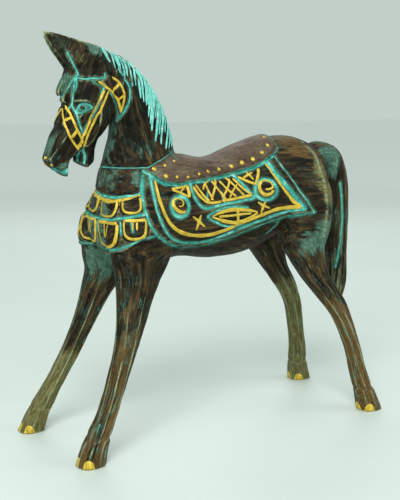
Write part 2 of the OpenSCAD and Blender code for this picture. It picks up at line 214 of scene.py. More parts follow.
TRIANGLES = [
    ([(-67.8, 252.6), (-49.6, 254.6)], 2.4), ([(-50, 255), (-49.9, 243.4)], 3.0),
    ([(-67.6, 252), (-59, 248.2), (-50, 244)], 2.4), ([(-59.2, 249), (-53.6, 253.4)], 1.7),
    ([(12, 260.6), (21, 255.8), (31, 252.6)], 2.8), ([(37.4, 268.2), (33.6, 260), (30.6, 252)], 3.4),
    ([(22.6, 265), (28.4, 257.4)], 2.0), ([(17.4, 259.4), (29, 264.6)], 2.2)]
LENS_TOP = smooth_line([(-25, 223.3), (-14, 227.2), (-2, 228.9), (8, 228.6), (20, 227), (30, 224.6)])
LENS_LOW = smooth_line([(-25, 223), (-14, 218.9), (-1.4, 216), (10, 216.2), (21, 219.6), (30, 224.2)])
LENS_BARS = [([(-17.3, 222.9), (1.6, 223.4), (22, 224)], 2.2), ([(5, 228.4), (6, 216.6)], 3.2)]
LENS_GROOVES = [smooth_line([(-30.5, 223.6), (-22, 227.9), (-10.2, 231), (3, 231.8), (17.6, 230)]),
                smooth_line([(-30.5, 223.5), (-22.7, 218.4), (-11.9, 213.9), (0, 212), (12, 213.4)])]
STARS = [[(-47.4, 224.9), (-40.5, 219.4), (-33, 213.6)], [(-38.2, 225.9), (-40.5, 219.4), (-43.2, 210.8)],
         [(30, 235.2), (37.2, 230.7), (45.2, 227.7)], [(40.6, 235.2), (37.2, 230.4), (33.8, 222.8)]]
FLANK_FOLD = smooth_line([(61.5, 213.5), (59.4, 208.5), (55.6, 204.3), (49.3, 199.3)])
HAUNCH_RIDGE = smooth_line([
    (107, 291), (111, 287), (115.5, 281), (117.5, 271.9), (118.5, 258.4), (118.5, 245), (118, 229.3),
    (116, 211.5), (113, 195)])

# Cuts in the head, each a line of [x, half-space y, z], its width, its depth, and how worn its verdigris is
HEAD_CUTS = [(smooth_line(line), width, depth, fade) for line, width, depth, fade in [
    # Slit of the ear
    ([(-161.4, 11, 381), (-155.9, 12.4, 371.3), (-151.2, 14.3, 359.5)], 1.7, 1.5, 0.1),
    # Parting and side of the forelock
    ([(-153.2, 13.9, 360.2), (-159, 8.8, 351.1), (-165.1, 4, 339.3)], 2.2, 1.6, 0.1),
    ([(-153.6, 13.1, 358.3), (-156.3, 12.4, 345), (-158.4, 11.7, 333), (-162, 9.7, 331)], 2.2, 1.9, 0.2),
    # Brow, and a fainter cut below it
    ([(-153.2, 13.8, 357.6), (-147.3, 18.2, 356.7), (-139.8, 20.9, 357.7), (-128.7, 22.2, 357.6),
      (-125.9, 18.4, 362)], 1.8, 1.3, 0.1),
    ([(-141, 20.3, 355.7), (-136.1, 22.1, 351.8), (-129.1, 22.8, 349.2)], 1.5, 0.8, 0.3),
    # Front and rear of the sunk field round the eye
    ([(-153.4, 14.2, 357), (-153.4, 15.3, 351), (-156.4, 12.8, 344), (-158, 12, 333.4),
      (-155.9, 16.5, 325.5), (-153.1, 18, 316.3), (-148.8, 17.8, 306)], 1.8, 1.3, 0.1),
    ([(-148.8, 17.8, 306), (-143.9, 20.3, 317.6), (-138.4, 22.9, 326.8), (-134.9, 23.6, 334.7),
      (-131.8, 22.1, 343.9), (-129.1, 22.8, 349.2)], 1.8, 1.3, 0.1),
    # Along the cheek strap, and the rear edge of the cheek
    ([(-123.5, 22, 345.3), (-115.2, 15.7, 337.3), (-110.7, 12.6, 329.2), (-108.2, 10.5, 321.1)],
     1.5, 0.8, 0.2),
    ([(-110, 15.2, 366.8), (-105.4, 17.9, 358.8), (-101.2, 18.5, 350.8), (-100, 19, 344.1),
      (-101.2, 18.1, 334.6), (-104.4, 15.2, 326.5), (-108.5, 8, 318)], 1.9, 1.4, 0.1),
    # Mouth and chin
    ([(-173.6, 3.3, 272.6), (-167, 10, 276.6), (-161.3, 10.8, 278.5)], 1.5, 1.6, 0.3),
    ([(-173, 2, 271.5), (-167, 7, 268.6), (-161.5, 8, 272)], 5.5, 0.3, 0.2),
    # Lobes under the jaw
    ([(-148.5, 10, 290), (-150, 5, 284), (-148.8, 4, 277)], 3.0, 1.1, 0.2),
    ([(-146.5, 12, 292), (-143.5, 8, 284), (-143.7, 6.6, 276.9)], 3.0, 1.1, 0.2)]]
EYE = np.array([
    (-156.3, 325.4), (-154.6, 329.6), (-152.4, 332.8), (-149.4, 334.4), (-145.4, 333.2), (-141.3, 330),
    (-146.4, 327.6), (-152, 325.2)], float)
PUPIL = (-150.2, 330.2)
PUPIL_R = 2.0
EAR_RIDGE = smooth_line([(-172, 5, 396), (-148, 10, 389.8), (-136, 11, 388.5), (-122, 9, 384)])

# Gold lines of the bridle, [x, half-space y, z], each with its width
BRIDLE = [
    ([(-163.8, 0.5, 330), (-165.6, 6.5, 323.4), (-166.2, 12, 316.4), (-164, 15.5, 308.5),
      (-159.4, 16.6, 299.4), (-151.8, 15.1, 290.8)], 2.2),
    ([(-162.2, 7.5, 332), (-160.9, 15, 324.6), (-158.2, 18.5, 315.3), (-154, 19.5, 307.3),
      (-149.2, 18.2, 299)], 2.4),
    ([(-166.2, 10.5, 318.4), (-160.0, 16.6, 321.9)], 3.0),
    ([(-160.2, 17.4, 302.2), (-154.6, 19.5, 309.4)], 3.4),
    ([(-153.6, 15.4, 292.4), (-148.6, 17.6, 299.6)], 3.0),
    ([(-129.2, 22.9, 346.6), (-136.9, 23.1, 332.1), (-143.3, 20.5, 318.9), (-149, 18.9, 304.4),
      (-151, 15.8, 292.7)], 2.4),
    ([(-124.9, 22, 345.6), (-133, 24.6, 330.6), (-139.4, 22, 317.2), (-144.2, 18.7, 305),
      (-147.2, 14.6, 293.2)], 2.2),
    ([(-118.4, 17.5, 359), (-110.8, 18, 353.4), (-106.8, 18.9, 345.4), (-106, 18.5, 338.7),
      (-106.6, 16.6, 331.9), (-108, 13.9, 325.4)], 2.1),
    ([(-134.8, 22, 354.6), (-127.6, 23.2, 349.4), (-118.7, 19.8, 344), (-111.5, 15.8, 337.3),
      (-107.6, 14.4, 326.5)], 2.5),
    ([(-118.6, 19.3, 344.2), (-110, 18, 353.2)], 2.8),
    ([(-111.8, 16, 336.9), (-106, 18.7, 341.8)], 2.0)]
NOSTRILS = [(-181.6, 1.5, 284.2), (-177.1, 7.1, 276.9)]

# The mane's locks from the crest to the tip, [x, half-space y, z]
LOCKS = [
    [(-126, 11, 385), (-123.5, 15, 378), (-120.4, 17, 371.8)],
    [(-120, 4, 384.5), (-113, 9, 379.5), (-109.6, 14, 371), (-108.2, 16.1, 361.5)],
    [(-109, 3, 381), (-104.8, 9, 376), (-105.8, 15, 368), (-104.6, 17.7, 357.5)],
    [(-99.5, 3, 377), (-96.2, 9, 371), (-97.8, 16, 364.6), (-97.5, 19.2, 349.8)],
    [(-92.5, 3, 371), (-88.7, 11, 363.6), (-89.5, 17, 354.9), (-89.3, 20.6, 339)],
    [(-85.5, 3, 366), (-82, 11, 359.4), (-81.8, 15, 350.3), (-83.6, 21.1, 332)],
    [(-79, 3, 359.5), (-77, 12, 351.6), (-78.9, 19.8, 337.3), (-81.9, 22.4, 321)],
    [(-72.5, 3, 352), (-71.6, 14, 341.3), (-76, 21.9, 326.1), (-80.1, 24.6, 307.7)],
    [(-67.5, 3, 343.8), (-67, 15, 332.6), (-71.6, 22.1, 318.2), (-76.4, 25.9, 296.9)],
    [(-62.8, 3, 334.8), (-62.8, 15, 322.4), (-67.6, 23, 307.6), (-70.6, 25.7, 294.6)],
    [(-57.4, 3, 324.2), (-57.2, 15, 311.6), (-61.2, 22.6, 298.6), (-64.8, 25.7, 289.6)],
    [(-52.4, 3, 312.6), (-52.2, 13, 302.2), (-54.8, 20, 291.8)]]
MANE_WIDTHS = (0.9, 1.15, 1.1, 1.0, 0.9, 0.7, 0.35)
# Outline under the mane where painted shade darkens the gaps between the locks
MANE_AREA = np.array([
    (-122, 392), (-118, 378), (-111, 360), (-104, 354), (-97, 346), (-90, 336), (-84, 318), (-80, 300),
    (-72, 291), (-48, 288), (-40, 292), (-60, 345), (-90, 380)], float)

# The collar's lines are [arc, z], where arc is the turn round the chest, growing towards the left side
COLLAR_X = -90.0
ARC_PER_DEGREE = 0.84
COLLAR_TOP = smooth_line([
    (-76, 258), (-60, 257), (-40, 254.5), (-24, 251.5), (-10, 249), (2, 247.4), (12, 246.6), (21.6, 245.8),
    (31.6, 245.4), (42, 246), (51, 247.2), (59, 248.6), (67, 251)])
COLLAR_GOLD = smooth_line([
    (-76, 254.5), (-60, 253.5), (-40, 251), (-24, 248.4), (-10, 246), (2, 244.4), (16.2, 242.4),
    (28.4, 241.7), (38, 242.8), (46.8, 244.5), (55.3, 246.2), (63.4, 247.9)])
COLLAR_MIDDLE = smooth_line([
    (-76, 233), (-56, 230.5), (-36, 227), (-16, 225.6), (2, 225), (17.3, 224.8), (29.7, 225), (41.2, 227),
    (49.1, 228.2), (56.4, 229.3), (66, 231)])
COLLAR_BOTTOM = smooth_line([
    (-79, 209.6), (-63, 207.3), (-51, 202.6), (-35, 197), (-14, 194), (0, 193.4), (14.3, 193.9), (34.8, 197),
    (40.2, 198.2), (45.7, 200.2), (51.6, 202.6), (57.2, 205.4), (63.2, 207.3), (69.8, 208.6), (79, 209.6)])

# Tabs as [middle arc, half width in arc, bottom, top]
UPPER_TABS = [
    (-66, 9.5, 234, 250), (-41, 12, 231, 247), (-11, 15, 230, 245), (23.9, 12.2, 227.2, 241.5),
    (52.5, 9.7, 231.8, 246)]
LOWER_TABS = [
    (-69, 9, 207.8, 227), (-45.5, 12.5, 202, 224), (-14, 16, 200, 222.5), (24.3, 15.3, 198.8, 221.5),
    (55.4, 9.6, 207.8, 225)]


# ---- The skin of the horse ----

class Skin:
    """The outer surface as arrays, and everything that is cut into it or painted on it."""

    def __init__(self, mesh):
        count = len(mesh.vertices)
        self.points = read(mesh.vertices, "co", 3)
        self.edges = read(mesh.edges, "vertices", 2, np.int64)
        self.faces = read(mesh.loops, "vertex_index", 1, np.int64).reshape(-1, 4)
        self.neighbours = np.maximum(np.bincount(self.edges.ravel(), minlength=count), 1)
        self.cut = np.zeros(count)
        self.rise = np.zeros(count)
        self.lean = np.zeros((count, 2))
        # Paint layers; the pale edge layer is partly a painted highlight, and the dark layer is painted shade
        # and the eye's dark pupil
        self.paint = {name: np.zeros(count) for name in
                      ("patina", "olive", "rust", "rub_and_highlight", "shade_and_pupil", "saddle", "fleck")}
        self.paint["teal"] = np.full(count, NO_PAINT)

    def averaged(self, values, rounds):
        """The values after spreading each to its neighbours a number of times."""
        a, b = self.edges[:, 0], self.edges[:, 1]
        result = values.reshape(len(values), -1).copy()
        for _ in range(rounds):
            for k in range(result.shape[1]):
                column = result[:, k]
                total = np.bincount(a, column[b], len(column)) + np.bincount(b, column[a], len(column))
                result[:, k] = 0.5 * column + 0.5 * total / self.neighbours
        return result.reshape(values.shape)

    def rounded(self, rounds):
        """The surface with its facets taken off, and without the shrinking that plain averaging brings."""
        once = self.averaged(self.points, rounds)
        return 2 * once - self.averaged(once, rounds)

    def find_normals(self):
        """The direction that the surface faces at each point."""
        p = self.points
        f = self.faces
        across = np.cross(p[f[:, 2]] - p[f[:, 0]], p[f[:, 3]] - p[f[:, 1]])
        total = np.zeros_like(p)
        for k in range(4):
            for axis in range(3):
                total[:, axis] += np.bincount(f[:, k], across[:, axis], len(p))
        self.normals = total / np.maximum(np.linalg.norm(total, axis=1), 1e-12)[:, None]

    def set_charts(self):
        """Coordinates that the carved lines are drawn in, with a slight waver of the hand."""
        x, y, z = self.points.T
        waver = np.stack([waves(self.points, 14, seed) for seed in (3, 4, 5)], axis=1) * 0.25
        turn = np.degrees(np.arctan2(-y, COLLAR_X - x))
        self.tree = BVHTree.FromPolygons(self.points.tolist(), self.faces.tolist())
        self.charts = {
            "side": np.stack([x, z], axis=1) + waver[:, :2],
            "collar": np.stack([turn * ARC_PER_DEGREE, z], axis=1) + waver[:, :2],
            "space": np.stack([x, np.abs(y), z], axis=1) + waver,
        }

    def spread(self, name, where, amount):
        """Paint of one kind, where it is stronger than what is there."""
        self.paint[name][where] = np.maximum(self.paint[name][where], amount)

    def near_line(self, line, reach, where, chart):
        """The vertices within reach of a line, and how far each is from it."""
        flat = self.charts[chart]
        if chart == "space":
            snapped = [self.tree.find_nearest(Vector((x, -y, z)))[0] for x, y, z in line]
            line = np.array(snapped) * [1, -1, 1]
        low, high = line.min(0) - reach, line.max(0) + reach
        near = np.flatnonzero(where & np.all((flat > low) & (flat < high), axis=1))
        return near, distance_to(flat[near], line)

    def groove(self, line, width, depth, where, chart="side", fade=0.0):
        """A round-bottomed groove along a line, filled with verdigris, less of it with more fade."""
        near, away = self.near_line(line, 2 * width + 3, where, chart)
        self.cut[near] = np.minimum(self.cut[near], -depth * np.exp(-(away / max(0.55 * width, 1.1)) ** 2))
        if fade < 1:
            teal = self.paint["teal"]
            teal[near] = np.minimum(teal[near], 2 * away / width + fade)

    def ridge(self, line, width, height, where, chart="side", rub_and_highlight=1.0):
        """A sharp raised edge along a line, painted pale: partly rubbed paint and partly a painted highlight.
        """
        near, away = self.near_line(line, 3 * width, where, chart)
        self.rise[near] = np.maximum(self.rise[near], height * np.exp(-(away / width)))
        self.spread("rub_and_highlight", near, rub_and_highlight * ramp(away, 1.2 * width, 0.2 * width))

    def plane_cut(self, point, normal, where, soft=0.15):
        """A flat knife cut: whatever stands beyond the plane is taken back to it."""
        normal = np.array(normal, float) / np.linalg.norm(normal)
        near = np.flatnonzero(where)
        side = np.where(self.points[near, 1] < 0, -1.0, 1.0)
        mirrored = self.points[near]
        mirrored[:, 1] *= side
        over = np.maximum((mirrored - point) @ normal, 0) * (1 - soft)
        mirrored -= over[:, None] * normal
        mirrored[:, 1] *= side
        self.points[near] = mirrored

    def apply_cuts(self):
        """Moves the surface by all that was cut and raised so far."""
        self.points += self.normals * (self.cut + self.rise)[:, None]
        self.cut[:] = 0
        self.rise[:] = 0
        self.find_normals()


def joined_shell():
    """The visible CAD nodes as one evenly meshed closed surface."""
    points, faces = [], []
    for name in PIECES:
        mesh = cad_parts[name].data
        first = len(points)
        points += [v.co / MM for v in mesh.vertices]
        faces += [[first + k for k in p.vertices] for p in mesh.polygons]
    mesh = bpy.data.meshes.new("shell")
    mesh.from_pydata(points, [], faces)
    shell = linked("shell", mesh)
    even = shell.modifiers.new("even", "REMESH")
    even.mode = "VOXEL"
    even.voxel_size = VOXEL
    graph = bpy.context.evaluated_depsgraph_get()
    skin = Skin(bpy.data.meshes.new_from_object(shell.evaluated_get(graph)))
    bpy.data.objects.remove(shell)
    return skin


def take_off_facets(skin):
    """Smooths the broad forms fully, the carved details lightly, and the ear tips and soles hardly."""
    x, _, z = skin.points.T
    flat = skin.points[:, [0, 2]]
    edges = np.minimum(distance_to(flat, BLANKET_EDGE), distance_to(flat, SADDLE_EDGE))
    broad = ramp(edges, 3, 9)
    broad *= 1 - ramp(x, -98, -104) * ramp(z, 187, 192) * ramp(z, 258, 252)
    head = ramp(x, -100, -108) * ramp(z, 262, 268) + ramp(z, 352, 358)
    broad *= 1 - np.clip(head, 0, 1)
    light = 1 - ramp(z, 372, 384) * 0.85
    light *= ramp(z, 0, 3)
    lightly = skin.rounded(8)
    fully = skin.rounded(64)
    target = lightly + (fully - lightly) * broad[:, None]
    skin.points += (target - skin.points) * light[:, None]
    skin.find_normals()


def blend_leg_tops(skin):
    """Rounds away the ledges where the legs meet the body."""
    x, _, z = skin.points.T
    rear = ramp(x, 70, 85) * ramp(np.abs(z - 172), 38, 18)
    front = ramp(x, -66, -80) * ramp(np.abs(z - 156), 26, 14)
    smooth = skin.rounded(130)
    skin.points += (smooth - skin.points) * (rear + front)[:, None]
    skin.find_normals()


# ---- Carving ----

def carve_muzzle(skin):
    """Flat knife planes down the face and at its end."""
    x, _, z = skin.points.T
    face = (x < -134) & (z > 262) & (z < 336)
    skin.plane_cut((-162.6, 0, 331), (-0.94, 0, 0.342), face)
    skin.plane_cut((-166, 9.5, 318), (-0.66, 0.74, 0.24), face)
    skin.plane_cut((-165, 13.4, 296), (-0.078, 0.974, -0.215), face)
    skin.plane_cut((-177.5, 0, 277.5), (-0.62, 0, -0.78), face & (x < -166))
    skin.find_normals()


def carve_blanket_and_saddle(skin):
    """The edges of the blanket and saddle, and the cuts round the blanket's pattern."""
    x, _, z = skin.points.T
    flank = (np.abs(skin.normals[:, 1]) > 0.2) & (x > -112) & (x < 112) & (z > 186)
    body = (x > -100) & (x < 110) & (z > 186)
    skin.groove(BLANKET_EDGE, 2.3, 1.7, flank, fade=0.1)
    skin.groove(BLANKET_GROOVE, 2.5, 1.4, flank)
    skin.groove(BLANKET_REAR_GROOVE, 4.4, 1.5, flank)
    skin.groove(SADDLE_EDGE, 2.7, 1.8, body)
    for x_at, z_at, half_length, half_height in ROSETTES:
        carve_rosette(skin, np.array((x_at, z_at)), np.array((half_length, half_height)), flank)
    skin.groove(PANEL, 2.5, 1.2, flank)
    skin.groove(PANEL_REAR, 2.8, 1.2, flank)
    for line in PANEL_SPLITS:
        skin.groove(line, 2.0, 0.7, flank, fade=0.25)
    for line in LENS_GROOVES:
        skin.groove(line, 2.1, 0.9, flank, fade=0.1)
    skin.groove(FLANK_FOLD, 1.8, 1.0, flank, fade=0.2)
    skin.spread("saddle", np.flatnonzero(inside(skin.charts["side"], SADDLE_AREA) & body), 1.0)


def carve_rosette(skin, centre, half, where):
    """A ring cut round an oval boss, with a notched outer edge."""
    away = (skin.charts["side"] - centre) / half
    r = np.hypot(away[:, 0], away[:, 1])
    near = np.flatnonzero(where & (r < 1.8))
    size = half.mean()
    angle = np.arctan2(away[near, 1], away[near, 0])
    notch = 0.7 * np.abs(((angle * 28 / (2 * np.pi)) % 1) * 2 - 1) - 0.3
    off = (r[near] - 1) * size + 0.5 * RING_WIDTH
    skin.cut[near] = np.minimum(skin.cut[near], -1.5 * np.exp(-(off / (0.5 * RING_WIDTH)) ** 2))
    ring = np.abs(off) - np.where(off > 0, notch, 0)
    teal = skin.paint["teal"]
    teal[near] = np.minimum(teal[near], 2 * ring / RING_WIDTH)


def tab_outline(tab, outset=0.0):
    """The U-shaped outline of one tab of the collar."""
    arc, half, bottom, top = tab
    half += outset
    bottom -= outset
    round_off = 0.42 * (top - bottom)
    middle = bottom + round_off + 0.25 * (top - bottom)
    right = [(0.55, bottom + 0.8), (0.9, bottom + 0.6 * round_off), (1, middle), (1, top)]
    left = [(-share, z) for share, z in reversed(right)]
    return smooth_line([(arc + share * half, z) for share, z in left + [(0, bottom)] + right])


def carve_collar(skin):
    """The collar's three edges, its tabs, and short cuts in the gaps between the lower tabs."""
    x, _, z = skin.points.T
    front = (x < -84) & (x > -150) & (z > 186) & (z < 262) & (skin.normals[:, 0] < 0.35)
    front &= distance_to(skin.charts["side"], BLANKET_EDGE) > 1.5
    skin.groove(COLLAR_TOP, 2.1, 1.3, front, "collar")
    skin.groove(COLLAR_MIDDLE, 2.2, 1.5, front, "collar", fade=0.1)
    skin.groove(COLLAR_BOTTOM, 2.1, 1.5, front, "collar", fade=0.1)
    for tab in UPPER_TABS:
        skin.groove(tab_outline(tab, 1.9), 1.6, 0.8, front, "collar", fade=1.0)
    for tab in LOWER_TABS:
        skin.groove(tab_outline(tab, 2.0), 1.8, 1.0, front, "collar", fade=1.0)
    for a, b in zip(LOWER_TABS[:-1], LOWER_TABS[1:]):
        gap = 0.5 * (a[0] + a[1] + b[0] - b[1])
        skin.groove(straight_line([(gap, 223), (gap + 0.8, 212)]), 2.0, 0.8, front, "collar", fade=0.25)
    last = LOWER_TABS[-1][0]
    skin.groove(straight_line([(last - 3.6, 225.3), (last - 2, 214.8)]), 1.9, 0.6, front, "collar", fade=0.1)


def carve_head(skin):
    """The cuts round the ears, forelock, brow, eyes, jaw and mouth."""
    x, y, z = skin.points.T
    head = (x < -96) & (z > 262)
    for line, width, depth, fade in HEAD_CUTS:
        skin.groove(line, width, depth, head, "space", fade=fade)
    # The ear's rim is painted pale: partly rubbed paint, partly a painted highlight
    skin.ridge(EAR_RIDGE, 1.6, 0.5, head, "space", rub_and_highlight=0.8)
    carve_eye(skin, head & (np.abs(y) > 8))


def carve_eye(skin, where):
    """An almond cut round the eyeball, with a dark pupil."""
    rim_line = smooth_line(np.vstack([EYE, EYE[:1]]))
    near, rim = skin.near_line(rim_line, 8, where, "side")
    flat = skin.charts["side"][near]
    within = inside(flat, rim_line)
    from_pupil = np.hypot(flat[:, 0] - PUPIL[0], flat[:, 1] - PUPIL[1])
    skin.cut[near] = np.minimum(skin.cut[near], -1.0 * np.exp(-(rim / 1.2) ** 2))
    skin.rise[near] = np.maximum(skin.rise[near], 1.3 * np.exp(-(from_pupil / 3.6) ** 2))
    almond = np.where(within, np.minimum(0.45 + rim / 2.2, 1.15), 0.45 + rim / 0.8)
    almond += 3 * ramp(from_pupil, PUPIL_R + 0.5, PUPIL_R - 0.6)
    almond = np.minimum(almond, 0.35 + np.abs(from_pupil - PUPIL_R - 0.7) / 0.7)
    teal = skin.paint["teal"]
    teal[near] = np.minimum(teal[near], almond)
    skin.spread("shade_and_pupil", near, ramp(from_pupil, PUPIL_R + 0.3, PUPIL_R - 0.8))


def leg_masks(skin):
    """Each leg's own vertices, from a little above its seam down."""
    x, y, z = skin.points.T
    return {
        "front_leg_left": (x < -60) & (y < 0) & (z < FRONT_SEAM),
        "front_leg_right": (x < -60) & (y > 0) & (z < FRONT_SEAM),
        "rear_leg_left": (x > 60) & (y < -16) & (z < REAR_SEAM),
        "rear_leg_right": (x > 60) & (y > 16) & (z < REAR_SEAM),
    }


def leg_middle(p):
    """The leg's middle in x and y at each point's height, and at its top."""
    levels = [level for level in np.arange(0, 185, 6.0) if (np.abs(p[:, 2] - level) < 4).any()]
    middles = np.array([p[np.abs(p[:, 2] - level) < 4, :2].mean(0) for level in levels])
    return np.stack([np.interp(p[:, 2], levels, middles[:, k]) for k in (0, 1)], axis=1), middles[-1]


def flat_face(angle, wedge):
    """How far out a flat-sided leg reaches at an angle, as a share of its corners' reach."""
    return math.cos(wedge / 2) / np.cos(angle % wedge - wedge / 2)


def carve_legs(skin):
    """Long knife cuts that leave flat faces and sharp edges, and a step above the hoof."""
    for seed, (name, mask) in enumerate(leg_masks(skin).items()):
        near = np.flatnonzero(mask)
        p = skin.points[near]
        height = p[:, 2]
        middle, top = leg_middle(p)
        skin.lean[near] = middle - top
        out = p[:, :2] - middle
        radius = np.linalg.norm(out, axis=1)
        angle = np.arctan2(out[:, 1], out[:, 0]) + 0.5 * seed
        wedge = 2 * np.pi / (7 if "left" in name else 6)
        upper = flat_face(angle + 0.004 * height, wedge)
        lower = flat_face(angle + 0.4, wedge)
        shape = upper + (lower - upper) * ramp(height, HOOF_TOP + 1.5, HOOF_TOP - 1.5)
        fade = ramp(height, FRONT_SEAM - 2, 120) * ramp(height, 0, 2.5)
        push = radius * (shape - 0.955) * fade
        ring = HOOF_TOP + 2.5 + 1.5 * np.sin(3 * angle)
        notch = -0.9 * np.exp(-((height - ring) / 2.2) ** 2)
        skin.points[near, :2] += out / radius[:, None] * (push + notch)[:, None]
    skin.find_normals()


def carve_tail(skin):
    """Long grooves that part the tail's hair."""
    x, y, z = skin.points.T
    tail = (x > 150) & (np.abs(y) < 17) & (z > 100) & (z < 272)
    near = np.flatnonzero(tail)
    p = skin.points[near]
    angle = np.arctan2(p[:, 1], p[:, 0] - 172)
    comb = 0.5 + 0.5 * np.cos(9 * angle + 0.02 * p[:, 2] + 0.6 * waves(p, 60, 21))
    skin.cut[near] -= 0.9 * (1 - comb) ** 2 * ramp(p[:, 2], 262, 235)
    line = smooth_line([(167, 246), (170.5, 215), (170, 185), (166, 150)])
    skin.groove(line, 2.6, 1.6, tail, fade=0.25)


def carve_wood(skin):
    """Shallow knife marks all over, longer along the grain than across."""
    stretched = skin.points * [0.35, 1.0, 0.55]
    legs = skin.points[:, 2] < 165
    stretched[legs] = skin.points[legs] * [1.0, 1.0, 0.2]
    skin.rise += 0.22 * np.clip(waves(stretched, 9, 31), -1, 1)
    x, y, z = skin.points.T
    haunch = (x > 95) & (np.abs(y) > 10) & (skin.normals[:, 0] > -0.3)
    # The haunch's edge is painted pale: partly rubbed paint, partly a painted highlight
    skin.ridge(HAUNCH_RIDGE, 3.2, 0.8, haunch, rub_and_highlight=0.55)
    seam = np.array(NECK_SEAM, float)
    neck = (x > -135) & (x < -40) & (z > 262) & (z < 300)
    skin.groove(seam, 1.2, 0.35, neck, fade=0.35)
    # Painted shade: the neck under the mane is darkened between the locks
    gaps = np.flatnonzero(inside(skin.charts["side"], MANE_AREA))
    skin.spread("shade_and_pupil", gaps, 0.75)


# ---- Colour of the wood ----

# Washes of colour, the same on both sides: a middle, a radius and a strength
PATINA = [
    ((-120, 0, 182), 30, 1.0), ((-112, 30, 176), 20, 0.45), ((-112, 8, 262), 20, 0.62),
    ((-118, 0, 292), 15, 0.75), ((-112, 0, 308), 10, 0.7), ((-96, 34, 262), 12, 0.9),
    ((-132, 12, 236), 15, 0.6), ((-132, 4, 212), 17, 0.7), ((-180, 0, 296), 15, 0.8),
    ((-176, 8, 286), 8, 0.6), ((-159, 6, 352), 11, 1.0), ((150, 8, 270), 22, 0.95),
    ((114, 42, 196), 25, 0.95), ((94, 46, 188), 18, 0.8), ((112, 42, 160), 12, 0.3), ((62, 40, 176), 14, 0.6),
    ((-60, 14, 284), 14, 0.75), ((-88, 26, 288), 12, 0.45), ((-134, 11, 389), 13, 0.9),
    ((-106, 36, 150), 14, 0.25), ((184, 6, 205), 24, 0.75), ((-40, 44, 200), 14, 0.3)]
OLIVE = [
    ((119, 34, 262), 17, 0.75), ((121, 36, 240), 20, 0.85), ((119, 34, 214), 18, 0.7),
    ((112, 30, 280), 14, 0.5), ((-146, 10, 378), 22, 0.50), ((20, 30, 182), 24, 0.45),
    ((134, 22, 220), 20, 0.7), ((-70, 28, 176), 14, 0.3)]
RUST = [((92, 24, 292), 26, 0.75), ((104, 30, 276), 22, 0.6), ((-90, 24, 300), 18, 0.4),
        ((-80, 30, 280), 14, 0.55), ((165, 10, 150), 26, 0.5), ((-60, 40, 210), 26, 0.25)]

# How much olive and how much rust each leg carries, and the height they start at
LEG_WASH = {"front_leg_left": (0.20, 0.65, 160), "front_leg_right": (1.0, 0.30, 112),
            "rear_leg_left": (0.25, 0.95, 160), "rear_leg_right": (0.80, 0.65, 160)}


def paint_wood(skin):
    """How each kind of colour lies on the carved surface."""
    p = skin.points
    x, y, z = p.T
    mirrored = np.stack([x, np.abs(y), z], axis=1)
    for name, washes in (("patina", PATINA), ("olive", OLIVE), ("rust", RUST)):
        for centre, radius, strength in washes:
            away = np.linalg.norm(mirrored - np.array(centre), axis=1)
            near = np.flatnonzero(away < 1.6 * radius)
            skin.spread(name, near, strength * ramp(away[near], 1.5 * radius, 0.35 * radius))
    fine = np.sum((p - skin.averaged(p, 5)) * skin.normals, axis=1)
    broad = np.sum((p - skin.averaged(p, 26)) * skin.normals, axis=1)
    legs = ramp(z, 170, 140)
    # Pale on sharp ridges and broad bulges: partly rubbed paint, partly a painted highlight
    rub_and_highlight = ramp(fine, 0.05, 0.20) * 0.8 + ramp(broad, 0.45 + 0.25 * legs, 1.25) * (0.75 - 0.45 * legs)
    skin.spread("rub_and_highlight", np.arange(len(p)), np.clip(rub_and_highlight, 0, 1))
    # Painted shade: darker in creases and hollows
    skin.spread("shade_and_pupil", np.arange(len(p)), ramp(fine, -0.05, -0.3))
    for name, mask in leg_masks(skin).items():
        near = np.flatnonzero(mask)
        olive, rust, start = LEG_WASH[name]
        skin.spread("olive", near, olive * ramp(z[near], start, start - 50))
        skin.spread("rust", near, rust * ramp(z[near], 160, 100))
    low_left = (x < -110) & (y < 0) & (z < 90)
    skin.spread("fleck", np.flatnonzero(low_left), ramp(z, 85, 40)[low_left] * 0.8)
    rear = (x > 110) & (z < 90)
    skin.spread("fleck", np.flatnonzero(rear), 0.45)
    upper_legs = (z < 172) & (z > 90)
    skin.spread("fleck", np.flatnonzero(upper_legs), 0.35)


def grain_of(skin):
    """Coordinates for the wood's figure, pressed together along the grain of each block."""
    x, y, z = skin.points.T
    squeeze = 0.09
    body = np.stack([x * squeeze, y, z], axis=1)
    leg_x, leg_z = 105 * np.sign(x), 188.0
    upright = np.stack([x - skin.lean[:, 0] - leg_x * (1 - squeeze), y - skin.lean[:, 1],
                        leg_z + (z - leg_z) * squeeze], axis=1)
    share = np.clip(ramp(z, 212, 164) + ramp(x, 146, 150) * (z < 275), 0, 1)[:, None]
    grain = body + (upright - body) * share
    slope = np.stack([(x - 0.30 * (400 - z)), y, z * squeeze], axis=1)
    neck = (z > 276) & (x < -36)
    grain[neck] = slope[neck]
    muzzle = neck & (x < -128)
    along = np.array([-0.42, 0, -0.91])
    up = np.array([-0.91, 0, 0.42])
    local = np.stack([skin.points @ along * squeeze, y, skin.points @ up], axis=1)
    grain[muzzle] = local[muzzle]
    return grain


# ---- Cutting the skin into the horse's pieces ----

def skin_mesh(skin):
    """The whole skin as one mesh in metres, with its paint as attributes."""
    mesh = bpy.data.meshes.new("skin")
    mesh.from_pydata(skin.points * MM, [], skin.faces.tolist())
    for name, values in skin.paint.items():
        layer = mesh.attributes.new(name, "FLOAT", "POINT")
        layer.data.foreach_set("value", values.astype(np.float32))
    layer = mesh.attributes.new("grain", "FLOAT_VECTOR", "POINT")
    layer.data.foreach_set("vector", grain_of(skin).astype(np.float32).ravel())
    return mesh


